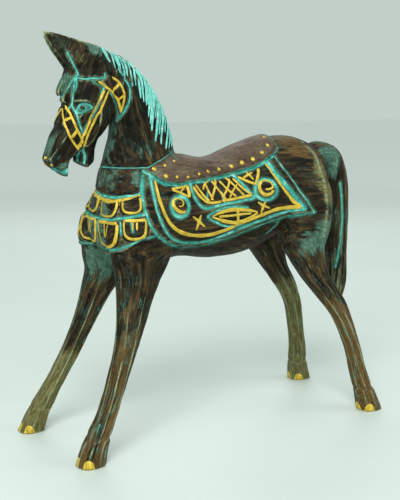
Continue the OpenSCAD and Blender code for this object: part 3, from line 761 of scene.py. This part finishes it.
def seam_cuts():
    """Each glued joint as a point, a normal towards the smaller piece, and the region it cuts."""
    a, b = Vector((NECK_SEAM[1][0], 0, NECK_SEAM[1][1])), Vector((NECK_SEAM[2][0], 0, NECK_SEAM[2][1]))
    slope = Vector((-(b - a).z, 0, (b - a).x)).normalized()
    return [
        (a, Vector((0, 0, 1)), lambda c: -134 < c.x < -80 and 255 < c.z < 290),
        (a, slope, lambda c: -96 < c.x < -20 and 262 < c.z < 310),
        (Vector((0, 0, FRONT_SEAM)), Vector((0, 0, 1)), lambda c: c.x < 0 and 150 < c.z < 180),
        (Vector((0, 0, REAR_SEAM)), Vector((0, 0, 1)),
         lambda c: 60 < c.x < 150 and abs(c.y) > 8 and 165 < c.z < 195),
        (Vector((TAIL_SEAM, 0, 0)), Vector((1, 0, 0)),
         lambda c: 126 < c.x < 145 and abs(c.y) < 13.8 and 263 < c.z < 300),
    ]


def piece_at(c):
    """The piece that a face belongs to, from its middle in millimetres."""
    if c.x < -60 and c.z < FRONT_SEAM:
        return "front_leg_left" if c.y < 0 else "front_leg_right"
    if c.x > 147.5 and abs(c.y) < 17 and c.z > 100:
        return "tail"
    if c.x > TAIL_SEAM and abs(c.y) < 14 and c.z > 263:
        return "tail"
    if c.x > 60 and c.z < REAR_SEAM:
        return "rear_leg_left" if c.y < 0 else "rear_leg_right"
    (ax, az), (bx, bz) = NECK_SEAM[1], NECK_SEAM[2]
    if c.x < -132 and c.z > 257:
        return "neck_and_head"
    if c.x <= ax and c.z > az:
        return "neck_and_head"
    if ax < c.x and c.z > az + (c.x - ax) * (bz - az) / (bx - ax):
        return "neck_and_head"
    return "torso"


def cut_apart(mesh):
    """A closed mesh for each piece."""
    whole = bmesh.new()
    whole.from_mesh(mesh)
    for point, normal, region in seam_cuts():
        faces = [f for f in whole.faces if region(f.calc_center_median() / MM)]
        parts = set(faces)
        for f in faces:
            parts.update(f.verts)
            parts.update(f.edges)
        bmesh.ops.bisect_plane(whole, geom=list(parts), dist=1e-7, plane_co=point * MM, plane_no=normal)
    names = list(PIECES)
    owner = whole.faces.layers.int.new("owner")
    for f in whole.faces:
        f[owner] = names.index(piece_at(f.calc_center_median() / MM))
        f.smooth = True
    whole.to_mesh(mesh)
    whole.free()
    return {name: piece_mesh(mesh, name, k) for k, name in enumerate(names)}


def piece_mesh(mesh, name, number):
    """One piece's faces, closed with flat glued faces at its seams."""
    part = bmesh.new()
    part.from_mesh(mesh)
    owner = part.faces.layers.int["owner"]
    others = [f for f in part.faces if f[owner] != number]
    bmesh.ops.delete(part, geom=others, context="FACES")
    rim = [e for e in part.edges if e.is_boundary]
    for e in rim:
        e.smooth = False
    bmesh.ops.holes_fill(part, edges=rim, sides=0)
    bmesh.ops.recalc_face_normals(part, faces=part.faces)
    made = bpy.data.meshes.new(name)
    part.to_mesh(made)
    part.free()
    made.attributes.remove(made.attributes["owner"])
    return made


# ---- Raised strokes of gold ----

def side_ray(side, point):
    """A ray from beside the horse to a point [x, z] of the side view."""
    return Vector((point[0], side * 300, point[1])), Vector((0, -side, 0))


def collar_ray(point):
    """A ray from outside to a point [arc, z] of the collar."""
    angle = math.radians(point[0] / ARC_PER_DEGREE)
    out = Vector((-math.cos(angle), -math.sin(angle), 0))
    return Vector((COLLAR_X, 0, point[1])) + 200 * out, -out


class Trim:
    """Strokes and studs laid on the skin and gathered into one mesh."""

    STEPS = np.array([-1, -0.93, -0.7, -0.25, 0.25, 0.7, 0.93, 1])
    LIFTS = np.array([-0.9, 0.62, 0.95, 0.88, 1, 0.92, 0.66, -0.9])

    def __init__(self, name, tree):
        self.name = name
        self.tree = tree
        self.points = []
        self.brush = []
        self.faces = []
        self.seed = 0

    def laid(self, line, chart, side):
        """Where a line falls on the skin, and the skin's direction there."""
        spots, outs = [], []
        for point in line:
            if chart == "space":
                spot, out, _, _ = self.tree.find_nearest(Vector((point[0], side * point[1], point[2])))
            else:
                origin, direction = collar_ray(point) if chart == "collar" else side_ray(side, point)
                spot, out, _, _ = self.tree.ray_cast(origin, direction)
            if spot is None or (spots and (spot - Vector(spots[-1])).length > 7):
                continue
            spots.append(spot)
            outs.append(out)
        return np.array(spots), np.array(outs)

    def stroke(self, line, width, chart="side", height=0.32, taper=1.2, waver=0.15, widths=None):
        """One brushed stroke, on both sides unless it is on the collar."""
        self.seed += 1
        line = straight_line(line, 1.0)
        shakes = [waves(line, 18, self.seed + 500 * k) for k in range(line.shape[1])]
        line = line + waver * np.stack(shakes, axis=1)
        for side in ((1,) if chart == "collar" else SIDES):
            spots, outs = self.laid(line, chart, side)
            if len(spots) > 3:
                self.add_band(spots, outs, width, height, taper, widths)

    def add_band(self, spots, outs, width, height, taper, widths=None):
        """A flat band with rounded edges that follows the skin under it."""
        for _ in range(2):
            spots[1:-1] = (spots[:-2] + 2 * spots[1:-1] + spots[2:]) / 4
        for _ in range(6):
            outs[1:-1] = (outs[:-2] + outs[1:-1] + outs[2:]) / 3
        outs /= np.linalg.norm(outs, axis=1)[:, None]
        along = np.gradient(spots, axis=0)
        along /= np.maximum(np.linalg.norm(along, axis=1), 1e-9)[:, None]
        across = np.cross(outs, along)
        across /= np.linalg.norm(across, axis=1)[:, None]
        run = np.concatenate([[0], np.cumsum(np.linalg.norm(np.diff(spots, axis=0), axis=1))])
        ends = np.minimum(run, run[-1] - run)
        share = np.sqrt(np.clip(ends / taper, 0.08, 1))
        full = width * share * (1 + 0.10 * waves(spots, 9, self.seed + 90))
        if widths is not None:
            full = full * np.interp(run / run[-1], np.linspace(0, 1, len(widths)), widths)
        first = len(self.points)
        for spot, out, side, w, s, at in zip(spots, outs, across, full, share, run):
            for step, lift in zip(self.STEPS, self.LIFTS):
                place = spot + side * step * w / 2
                nearest, _, _, gap = self.tree.find_nearest(Vector(place))
                if gap < 1.5:
                    place = 0.5 * place + 0.5 * np.array(nearest)
                self.points.append(place + out * lift * height * (0.5 + 0.5 * s))
                self.brush.append((at * 0.12, step * w * 1.6, self.seed * 7.0))
        self.add_tube(first, len(spots), len(self.STEPS))

    def add_tube(self, first, count, sides):
        """Faces round rows of points, closed at both ends."""
        for i in range(count - 1):
            a, b = first + i * sides, first + (i + 1) * sides
            for k in range(sides):
                n = (k + 1) % sides
                self.faces.append((a + k, a + n, b + n, b + k))
        last = first + (count - 1) * sides
        self.faces.append(tuple(range(first + sides - 1, first - 1, -1)))
        self.faces.append(tuple(range(last, last + sides)))

    def stud(self, point, chart, radius, height):
        """A low dome of paint."""
        for side in SIDES:
            spots, outs = self.laid([point], chart, side)
            if len(spots):
                self.add_dome(spots[0], outs[0], radius, height)

    def add_dome(self, spot, out, radius, height):
        """A slightly uneven dome round one spot."""
        self.seed += 1
        rng = np.random.default_rng(self.seed)
        turn = Vector(out).to_track_quat("Z", "Y").to_matrix()
        count = 14
        wobble = 1 + 0.12 * np.sin(np.arange(count) * 2 * np.pi / count * 2 + rng.uniform(0, 6))
        first = len(self.points)
        for share, lift in ((1.0, -0.9), (0.97, 0.25), (0.8, 0.65), (0.45, 0.93), (0.05, 1.0)):
            for k in range(count):
                angle = 2 * math.pi * k / count
                reach = share * radius * wobble[k]
                local = Vector((reach * math.cos(angle), reach * math.sin(angle), lift * height))
                self.points.append(np.array(Vector(spot) + turn @ local))
                self.brush.append((share * 0.3, angle, self.seed * 7.0))
        self.add_tube(first, 5, count)

    def made(self):
        """The finished object, with its normals facing out."""
        mesh = bpy.data.meshes.new(self.name)
        mesh.from_pydata(np.array(self.points) * MM, [], self.faces)
        mesh.polygons.foreach_set("use_smooth", [True] * len(mesh.polygons))
        layer = mesh.attributes.new("brush", "FLOAT_VECTOR", "POINT")
        layer.data.foreach_set("vector", np.array(self.brush, np.float32).ravel())
        tidy = bmesh.new()
        tidy.from_mesh(mesh)
        bmesh.ops.recalc_face_normals(tidy, faces=tidy.faces)
        tidy.to_mesh(mesh)
        tidy.free()
        return linked(self.name, mesh)


def blanket_gold(tree):
    """The border and all the figures of the blanket."""
    trim = Trim("blanket_gold", tree)
    trim.stroke(BLANKET_GOLD, 3.9, widths=(0.5, 0.85, 1, 1, 1, 1, 0.85, 0.75, 0.85, 1, 1.05, 1))
    trim.stroke(BLANKET_GOLD_REAR, 3.6, widths=(1.25, 1.1, 0.85, 0.75, 0.6))
    for line, width, widths in SPIRALS:
        trim.stroke(smooth_line(line), width, widths=widths)
    for line, width in LATTICE:
        trim.stroke(smooth_line(line), width)
    for line, width in TRIANGLES:
        trim.stroke(smooth_line(line), width, taper=0.8)
    for line in (LENS_TOP, LENS_LOW):
        trim.stroke(line, 3.4, widths=(0.45, 0.9, 1.15, 1.1, 0.9, 0.45))
    for line, width in LENS_BARS:
        trim.stroke(line, width)
    for line in STARS:
        trim.stroke(smooth_line(line), 3.3, widths=(0.4, 0.8, 1.1, 0.7, 0.35))
    return trim.made()


def saddle_studs(tree):
    """The dots along the lower edge of the saddle."""
    trim = Trim("saddle_studs", tree)
    for x, z, radius in SADDLE_STUDS:
        trim.stud((x, z), "side", radius, 0.8)
    return trim.made()


def collar_gold(tree):
    """The collar's upper band, and the outlines and bars of its tabs."""
    trim = Trim("collar_gold", tree)
    trim.stroke(COLLAR_GOLD, 3.6, "collar", 0.4, widths=(0.6, 0.8, 1, 1.1, 1.1, 1, 1, 1.1, 1, 0.8, 0.6))
    for tab in UPPER_TABS:
        trim.stroke(tab_outline(tab), 2.4, "collar", widths=(0.9, 0.9, 0.95, 1, 1.1, 1.15))
    for tab in LOWER_TABS:
        arc, half, bottom, top = tab
        trim.stroke(tab_outline(tab), 2.9, "collar", widths=(0.6, 0.7, 0.9, 1.1, 1.2, 1.2, 1))
        trim.stroke([(arc - half, top + 0.6), (arc, top + 0.1), (arc + half, top + 0.8)], 3.2, "collar")
        trim.stroke([(arc - 0.2 * half, top - 1.5), (arc - 0.24 * half, bottom + 8)], 1.6, "collar")
        trim.stroke([(arc + 0.16 * half, top - 1.5), (arc + 0.12 * half, bottom + 8)], 2.1, "collar")
    return trim.made()


def bridle_gold(tree):
    """The straps of the bridle, and a dot at each nostril."""
    trim = Trim("bridle_gold", tree)
    for line, width in BRIDLE:
        trim.stroke(smooth_line(line), width, "space", 0.35, waver=0.1)
    for spot in NOSTRILS:
        trim.stud(spot, "space", 1.5, 0.8)
    return trim.made()


def toe_gold(skin, tree):
    """Half-round touches of gold on the front and both sides of each hoof."""
    trim = Trim("toe_gold", tree)
    for mask in leg_masks(skin).values():
        sole = skin.points[mask & (skin.points[:, 2] < 4)]
        x, y, _ = 0.5 * (sole.min(0) + sole.max(0))
        for turn in TOE_TURNS:
            add_toe(trim, Vector((x, y, 0)), math.radians(turn))
    return trim.made()


def add_toe(trim, middle, turn):
    """One half-round touch of paint, from the sole up."""
    out = Vector((math.cos(turn), math.sin(turn), 0))
    across = Vector((-out.y, out.x, 0))
    columns, rows = 13, 6
    first = len(trim.points)
    for lift in (0.5, -0.6):
        for u in np.linspace(-1, 1, columns):
            for v in np.linspace(0, 1, rows):
                z = 0.5 + TOE_TALL * math.sqrt(max(0.0, 1 - u * u)) * v
                origin = middle + out * 60 + across * (u * TOE_HALF) + Vector((0, 0, z))
                spot, _, _, _ = trim.tree.ray_cast(origin, -out)
                if spot is None:
                    spot, _, _, _ = trim.tree.find_nearest(origin - out * 48)
                edge = min(1.0, 3.0 * (1 - abs(u)), 3.0 * (1 - v) + 0.05)
                trim.points.append(np.array(spot + out * (lift * (0.3 + 0.7 * edge) if lift > 0 else lift)))
                trim.brush.append((v * 0.6, u * 5, turn))
    size = columns * rows
    for i in range(columns - 1):
        for j in range(rows - 1):
            a = first + i * rows + j
            trim.faces.append((a, a + rows, a + rows + 1, a + 1))
            trim.faces.append((a + size, a + size + 1, a + size + rows + 1, a + size + rows))
    ring = [i * rows for i in range(columns)] + [(columns - 1) * rows + j for j in range(1, rows)]
    ring += [i * rows + rows - 1 for i in range(columns - 2, -1, -1)] + [j for j in range(rows - 2, 0, -1)]
    for a, b in zip(ring, ring[1:] + ring[:1]):
        trim.faces.append((first + a, first + b, first + size + b, first + size + a))


def lock_point(lock, share):
    """The point that far along a lock, from its root to its tip."""
    line = np.array(smooth_line(lock))
    return line[round(share * (len(line) - 1))]


def mane(tree):
    """Raised locks that all but touch along the crest, with a thinner one in each gap."""
    trim = Trim("mane_locks", tree)
    rng = np.random.default_rng(7)
    locks = [np.array([lock_point(lock, share) for share in np.linspace(0, 1, 7)]) for lock in LOCKS]
    between = [0.5 * (a + b) for a, b in zip(locks, locks[1:])]
    for lock in locks:
        trim.stroke(smooth_line(lock), rng.uniform(3.1, 3.7), "space", 0.7, 1.0, 0.3, MANE_WIDTHS)
    for lock in between:
        reach = rng.integers(5, 8)
        trim.stroke(smooth_line(lock[:reach]), rng.uniform(1.9, 2.5), "space", 0.5, 1.0, 0.35, MANE_WIDTHS)
    return trim.made()


# ---- Materials ----

class Graph:
    """A short way to write shader nodes."""

    def __init__(self, name):
        self.material = bpy.data.materials.new(name)
        self.material.use_nodes = True
        self.tree = self.material.node_tree
        self.tree.nodes.clear()
        self.shader = self.tree.nodes.new("ShaderNodeBsdfPrincipled")
        output = self.tree.nodes.new("ShaderNodeOutputMaterial")
        self.tree.links.new(self.shader.outputs["BSDF"], output.inputs["Surface"])

    def put(self, value, socket):
        """Links a socket, or sets a plain number or a colour."""
        if isinstance(value, bpy.types.NodeSocket):
            self.tree.links.new(value, socket)
        else:
            socket.default_value = (*value, 1) if isinstance(value, tuple) else value

    def node(self, kind, inputs, **settings):
        """The outputs of a new node, with its settings and inputs filled in."""
        made = self.tree.nodes.new("ShaderNode" + kind)
        for key, value in settings.items():
            setattr(made, key, value)
        for key, value in inputs.items():
            self.put(value, made.inputs[key])
        return made.outputs

    def coat(self, inputs):
        """Fills in inputs of the material's shader."""
        for key, value in inputs.items():
            self.put(value, self.shader.inputs[key])

    def layer(self, name, output="Fac"):
        """A layer that is stored on the mesh."""
        return self.node("Attribute", {}, attribute_name=name)[output]

    def place(self):
        """Coordinates in metres."""
        return self.node("TexCoord", {})["Object"]

    def noise(self, where, scale, detail=4.0, roughness=0.6, distortion=0.0):
        """Cloudy noise from 0 to 1."""
        return self.node("TexNoise", {"Vector": where, "Scale": scale, "Detail": detail,
                                      "Roughness": roughness, "Distortion": distortion})["Fac"]

    def colours(self, factor, stops):
        """A ramp through colours, each at its place from 0 to 1."""
        made = self.tree.nodes.new("ShaderNodeValToRGB")
        self.put(factor, made.inputs["Fac"])
        elements = made.color_ramp.elements
        while len(elements) < len(stops):
            elements.new(0.5)
        for element, (place, colour) in zip(elements, stops):
            element.position = place
            element.color = (*colour, 1)
        return made.outputs["Color"]

    def range(self, value, low, high, to_low=0.0, to_high=1.0):
        """A smooth step between two values."""
        return self.node("MapRange", {"Value": value, "From Min": low, "From Max": high, "To Min": to_low,
                                      "To Max": to_high}, interpolation_type="SMOOTHSTEP")["Result"]

    def math(self, operation, a, b):
        """A sum with two values."""
        return self.node("Math", {0: a, 1: b}, operation=operation)[0]

    def mix_value(self, share, a, b):
        """A blend of two single values: all a at share 0, all b at share 1."""
        return self.math("ADD", self.math("MULTIPLY", a, 1 - share), self.math("MULTIPLY", b, share))

    def swing(self, noise, amount):
        """Noise that swings either side of zero."""
        return self.math("MULTIPLY", self.math("SUBTRACT", noise, 0.5), amount)

    def wash(self, under, over, layer, noise, most):
        """One colour washed over another where its layer is strong, broken up by noise."""
        cover = self.math("ADD", self.layer(layer), self.swing(noise, 2.2))
        return self.mix(self.range(cover, 0.38, 0.80, 0.0, most), under, over)

    def mix(self, factor, a, b):
        """A blend of two colours: all a at factor 0, all b at factor 1."""
        return self.node("Mix", {0: factor, 6: a, 7: b}, data_type="RGBA")[2]

    def bump(self, height, distance, strength=1.0):
        """Fine relief in the material."""
        relief = self.node("Bump", {"Height": height, "Distance": distance, "Strength": strength})
        self.coat({"Normal": relief["Normal"]})


DARK = (0.0048, 0.0044, 0.0030)
BROWN = (0.020, 0.0150, 0.0090)
RED_BROWN = (0.056, 0.033, 0.015)
OCHRE = (0.150, 0.104, 0.042)
OLIVE_DARK = (0.036, 0.033, 0.012)
OLIVE_MID = (0.140, 0.124, 0.046)
OLIVE_LIGHT = (0.270, 0.275, 0.115)
RUST_MID = (0.130, 0.072, 0.021)
# Pale green of rubbed paint and of painted highlights on edges, also used for the pale specks
PALE_RUB_AND_HIGHLIGHT = (0.360, 0.430, 0.250)
PATINA_DARK = (0.024, 0.050, 0.036)
PATINA_MID = (0.070, 0.150, 0.108)
PATINA_LIGHT = (0.160, 0.320, 0.245)
SADDLE_DARK = (0.024, 0.015, 0.010)
SADDLE_MID = (0.098, 0.063, 0.043)
SADDLE_LIGHT = (0.240, 0.170, 0.115)
VERDIGRIS_DEEP = (0.022, 0.165, 0.135)
VERDIGRIS = (0.060, 0.390, 0.320)
VERDIGRIS_LIGHT = (0.270, 0.720, 0.610)
GOLD_DEEP = (0.300, 0.185, 0.008)
GOLD = (0.560, 0.375, 0.018)
GOLD_LIGHT = (0.880, 0.680, 0.120)
BARE_DARK = (0.340, 0.210, 0.100)
BARE_LIGHT = (0.580, 0.410, 0.240)
MANE_MID = (0.140, 0.500, 0.430)
MANE_LIGHT = (0.420, 0.780, 0.700)
FLOOR_DARK = (0.540, 0.600, 0.570)
FLOOR_LIGHT = (0.570, 0.630, 0.600)
# Painted light: the far floor's colour, paler to make up for the lamps' fall-off
FLOOR_FAR_PAINTED_LIGHT = (0.930, 0.930, 0.930)
SKY = (0.810, 0.950, 0.880)
# How much lighter the brown of each wood is
WOOD_SHIFTS = {"body_wood": 0.0, "head_wood": -0.05, "leg_wood": 0.03, "tail_wood": 0.02}
WOOD_SHINE = 0.05
MANE_SHINE = 0.12
GOLD_METAL = 0.3


class WoodGraph(Graph):
    """A material of painted wood, with the noises that its layers share."""

    def __init__(self, name):
        super().__init__(name)
        self.grain = self.layer("grain", "Vector")
        self.spot = self.place()
        self.streak = self.noise(self.grain, 0.20, 6, 0.66, 0.6)
        self.fine = self.noise(self.grain, 0.95, 4, 0.7, 0.2)
        self.scratch = self.noise(self.grain, 2.3, 3, 0.6, 0.3)
        self.cloud = self.noise(self.spot, 46, 5, 0.68)
        self.crust = self.noise(self.spot, 300, 5, 0.72)


def washed_wood(g, shift):
    """Brown streaked wood under washes of rust, olive, the saddle's brown and patina."""
    brown = g.colours(g.streak, [(0.38 - shift, DARK), (0.50 - shift, BROWN), (0.60 - shift, RED_BROWN),
                                 (0.72 - shift, OCHRE)])
    rust = g.colours(g.fine, [(0.34, BROWN), (0.50, RUST_MID), (0.70, OCHRE)])
    olive = g.colours(g.fine, [(0.34, OLIVE_DARK), (0.50, OLIVE_MID), (0.68, OLIVE_LIGHT)])
    saddle = g.colours(g.mix_value(0.45, g.fine, g.cloud),
                       [(0.34, SADDLE_DARK), (0.50, SADDLE_MID), (0.66, SADDLE_LIGHT)])
    patina = g.colours(g.mix_value(0.5, g.fine, g.crust),
                       [(0.36, PATINA_DARK), (0.50, PATINA_MID), (0.64, PATINA_LIGHT)])
    colour = g.wash(brown, rust, "rust", g.streak, 0.9)
    patchy = g.mix_value(0.45, g.noise(g.grain, 0.16, 5, 0.62, 0.4), g.cloud)
    colour = g.wash(colour, olive, "olive", patchy, 0.88)
    colour = g.mix(g.math("MULTIPLY", g.layer("saddle"), 0.9), colour, saddle)
    colour = g.wash(colour, patina, "patina", g.noise(g.grain, 0.13, 6, 0.68, 0.8), 0.92)
    film = g.mix_value(0.5, g.cloud, g.noise(g.grain, 0.3, 5, 0.7))
    return g.mix(g.range(film, 0.50, 0.64, 0.0, 0.26), colour, patina)


def worn_wood(g, colour):
    """Scratches along the grain, pale edges that are partly rubbed paint and partly a painted highlight,
    painted shade in creases and between the mane's locks, the eye's dark pupil, and pale specks.
    """
    colour = g.mix(g.range(g.scratch, 0.60, 0.70, 0.0, 0.16), colour, OLIVE_LIGHT)
    colour = g.mix(g.range(g.scratch, 0.42, 0.30, 0.0, 0.75), colour, DARK)
    # Pale edges: partly rubbed paint, partly a painted highlight
    rub_and_highlight = g.math("MULTIPLY", g.layer("rub_and_highlight"), g.range(g.noise(g.grain, 0.35, 4, 0.6), 0.36, 0.58))
    colour = g.mix(rub_and_highlight, colour, g.colours(g.cloud, [(0.38, OLIVE_LIGHT), (0.58, PALE_RUB_AND_HIGHLIGHT)]))
    # Painted shade in creases and between the mane's locks, and the eye's dark pupil
    colour = g.mix(g.math("MULTIPLY", g.layer("shade_and_pupil"), 0.8), colour, DARK)
    speck = g.noise(g.spot, 700, 3, 0.7)
    return g.mix(g.range(speck, 0.66, 0.74, 0.0, 0.16), colour, PALE_RUB_AND_HIGHLIGHT)


def verdigris_in_cuts(g, colour):
    """Crusty verdigris in the cuts, a mist of it beside them, and a dark border beyond."""
    edge = g.math("ADD", g.layer("teal"), g.swing(g.crust, 1.5))
    edge = g.math("ADD", edge, g.swing(g.cloud, 0.9))
    colour = g.mix(g.range(edge, 2.2, 3.9, 0.55, 0.0), colour, DARK)
    thin = g.range(g.mix_value(0.5, g.cloud, g.fine), 0.40, 0.56)
    mist = g.math("MULTIPLY", g.range(edge, 0.9, 3.0, 0.56, 0.0), thin)
    colour = g.mix(mist, colour, g.colours(g.crust, [(0.36, VERDIGRIS_DEEP), (0.64, PATINA_LIGHT)]))
    fleck = g.range(g.noise(g.grain, 0.42, 5, 0.75, 0.8), 0.57, 0.64)
    fleck = g.math("MULTIPLY", g.layer("fleck"), fleck)
    paint = g.math("MAXIMUM", g.range(edge, 0.80, 1.12, 1.0, 0.0), fleck)
    tone = g.mix_value(0.55, g.crust, g.noise(g.spot, 120, 4, 0.65))
    verdigris = g.colours(tone, [(0.36, VERDIGRIS_DEEP), (0.50, VERDIGRIS), (0.62, VERDIGRIS_LIGHT)])
    return g.mix(paint, colour, verdigris), paint


def painted_wood(name, shift):
    """Carved wood with its paint. A higher shift makes its brown lighter."""
    g = WoodGraph(name)
    colour = worn_wood(g, washed_wood(g, shift))
    colour, paint = verdigris_in_cuts(g, colour)
    rough = g.range(g.mix_value(0.5, paint, g.fine), 0.15, 0.85, 0.46, 0.80)
    g.coat({"Base Color": colour, "Roughness": rough, "Specular IOR Level": WOOD_SHINE})
    height = g.math("ADD", g.math("MULTIPLY", g.fine, 0.5), g.math("MULTIPLY", g.scratch, 0.35))
    height = g.math("ADD", height, g.math("MULTIPLY", g.math("MULTIPLY", g.crust, paint), 0.9))
    g.bump(height, 0.0007, 0.9)
    return g.material


def verdigris_paint(name):
    """Thick turquoise paint on the raised locks, rubbed through to the wood in places."""
    g = Graph(name)
    place = g.place()
    along = g.layer("brush", "Vector")
    crust = g.noise(place, 260, 5, 0.7)
    streak = g.noise(along, 1.0, 4, 0.65)
    colour = g.colours(g.mix_value(0.5, streak, crust),
                       [(0.34, VERDIGRIS), (0.48, MANE_MID), (0.64, MANE_LIGHT)])
    bare = g.range(g.mix_value(0.5, streak, g.noise(place, 90, 4, 0.65)), 0.54, 0.62, 0.0, 0.85)
    colour = g.mix(bare, colour, BROWN)
    rough = g.range(crust, 0.3, 0.7, 0.5, 0.75)
    g.coat({"Base Color": colour, "Roughness": rough, "Specular IOR Level": MANE_SHINE})
    g.bump(g.mix_value(0.5, streak, crust), 0.0007, 0.8)
    return g.material


def gold_paint(name):
    """Brushed gold paint, streaked along each stroke and darker where it is thin."""
    g = Graph(name)
    place = g.place()
    brush = g.noise(g.layer("brush", "Vector"), 1.0, 4, 0.6)
    grit = g.noise(place, 380, 4, 0.7)
    cloud = g.noise(place, 70, 4, 0.6)
    colour = g.colours(g.mix_value(0.4, brush, grit), [(0.34, GOLD_DEEP), (0.48, GOLD), (0.64, GOLD_LIGHT)])
    colour = g.mix(g.range(cloud, 0.58, 0.72, 0.0, 0.5), colour, GOLD_DEEP)
    g.coat({"Base Color": colour, "Roughness": g.range(brush, 0.3, 0.7, 0.34, 0.56), "Metallic": GOLD_METAL})
    g.bump(g.mix_value(0.35, brush, grit), 0.0006, 0.8)
    return g.material


def bare_wood(name):
    """Unpainted dowel wood."""
    g = Graph(name)
    place = g.place()
    ring = g.noise(place, 220, 4, 0.6)
    colour = g.colours(ring, [(0.3, BARE_DARK), (0.7, BARE_LIGHT)])
    g.coat({"Base Color": colour, "Roughness": g.range(ring, 0.2, 0.8, 0.55, 0.75)})
    g.bump(ring, 0.0003)
    return g.material


# ---- Stage ----

# Soft lights: a place in metres, a diameter and a power
LIGHTS = {"key": ((-0.9, -1.1, 1.5), 1.1, 34),
          "fill": ((1.3, -0.9, 1.0), 1.2, 7),
          "back": ((0.7, 1.3, 1.3), 1.2, 9)}
LIT_POINT = Vector((0, 0, 0.2))
SKY_STRENGTH = 0.66
CAMERA_PLACE = (-0.543, -0.853, 0.3374)
CAMERA_HEADING = 32.03
CAMERA_DOWN = 8.75
CAMERA_LENS = 70.2
FLOOR_REACH = 12.0


def studio():
    """A pale floor whose colour grows paler with distance, painted light that makes up for the lamps'
    fall-off and blends it into the sky, and soft light from all round.
    """
    mesh = bpy.data.meshes.new("floor")
    reach = FLOOR_REACH
    corners = [(-reach, -reach, 0), (reach, -reach, 0), (reach, reach, 0), (-reach, reach, 0)]
    mesh.from_pydata(corners, [], [(0, 1, 2, 3)])
    floor = linked("floor", mesh)
    g = Graph("pale_floor")
    place = g.place()
    near = g.colours(g.noise(place, 3, 3), [(0.3, FLOOR_DARK), (0.7, FLOOR_LIGHT)])
    away = g.node("VectorMath", {0: place}, operation="LENGTH")["Value"]
    # Painted light: the floor's colour grows paler with distance to make up for the lamps' fall-off
    g.coat({"Base Color": g.mix(g.range(away, 0.6, 3.5), near, FLOOR_FAR_PAINTED_LIGHT), "Roughness": 0.55})
    mesh.materials.append(g.material)
    world = bpy.data.worlds.new("studio")
    bpy.context.scene.world = world
    world.use_nodes = True
    sky = world.node_tree.nodes["Background"]
    sky.inputs["Color"].default_value = (*SKY, 1)
    sky.inputs["Strength"].default_value = SKY_STRENGTH
    for name, (place, size, power) in LIGHTS.items():
        add_light(name, place, size, power)


def aim(thing, place, direction):
    """Puts a light or the camera at a place, looking in a direction."""
    thing.location = place
    thing.rotation_mode = "QUATERNION"
    thing.rotation_quaternion = direction.to_track_quat("-Z", "Y")


def add_light(name, place, size, power):
    """A round area light that faces the horse."""
    data = bpy.data.lights.new(name, "AREA")
    data.shape = "DISK"
    data.size = size
    data.energy = power
    aim(linked(name, data), place, LIT_POINT - Vector(place))


def camera():
    """The photo's viewpoint: ahead and to the left of the horse, a little above its back."""
    data = bpy.data.cameras.new("camera")
    data.sensor_width = 36.0
    data.lens = CAMERA_LENS
    made = linked("camera", data)
    heading, down = math.radians(CAMERA_HEADING), math.radians(CAMERA_DOWN)
    look = Vector((math.sin(heading) * math.cos(down), math.cos(heading) * math.cos(down), -math.sin(down)))
    aim(made, CAMERA_PLACE, look)
    data.clip_start = 0.01
    data.clip_end = 50
    bpy.context.scene.camera = made


# ---- Putting it together ----

def place_piece(piece, material):
    """A piece that goes with the horse, with its material."""
    piece.data.materials.append(material)
    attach(piece, "root")


skin = joined_shell()
take_off_facets(skin)
blend_leg_tops(skin)
carve_muzzle(skin)
carve_legs(skin)
skin.set_charts()
carve_blanket_and_saddle(skin)
carve_collar(skin)
carve_head(skin)
carve_tail(skin)
carve_wood(skin)
skin.apply_cuts()
paint_wood(skin)

surface = BVHTree.FromPolygons(skin.points.tolist(), skin.faces.tolist())
gold = gold_paint("gold_paint")
for trim in (blanket_gold(surface), saddle_studs(surface), collar_gold(surface), bridle_gold(surface),
             toe_gold(skin, surface)):
    place_piece(trim, gold)
place_piece(mane(surface), verdigris_paint("mane_paint"))

woods = {name: painted_wood(name, shift) for name, shift in WOOD_SHIFTS.items()}
for node, mesh in cut_apart(skin_mesh(skin)).items():
    piece = linked("carved_" + node, mesh)
    place_piece(piece, woods[PIECES[node]])
    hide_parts(node)

dowel_wood = bare_wood("dowel_wood")
for name in DOWELS:
    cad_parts[name].data.materials.clear()
    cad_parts[name].data.materials.append(dowel_wood)

studio()
camera()
bpy.context.scene.view_settings.view_transform = "Standard"
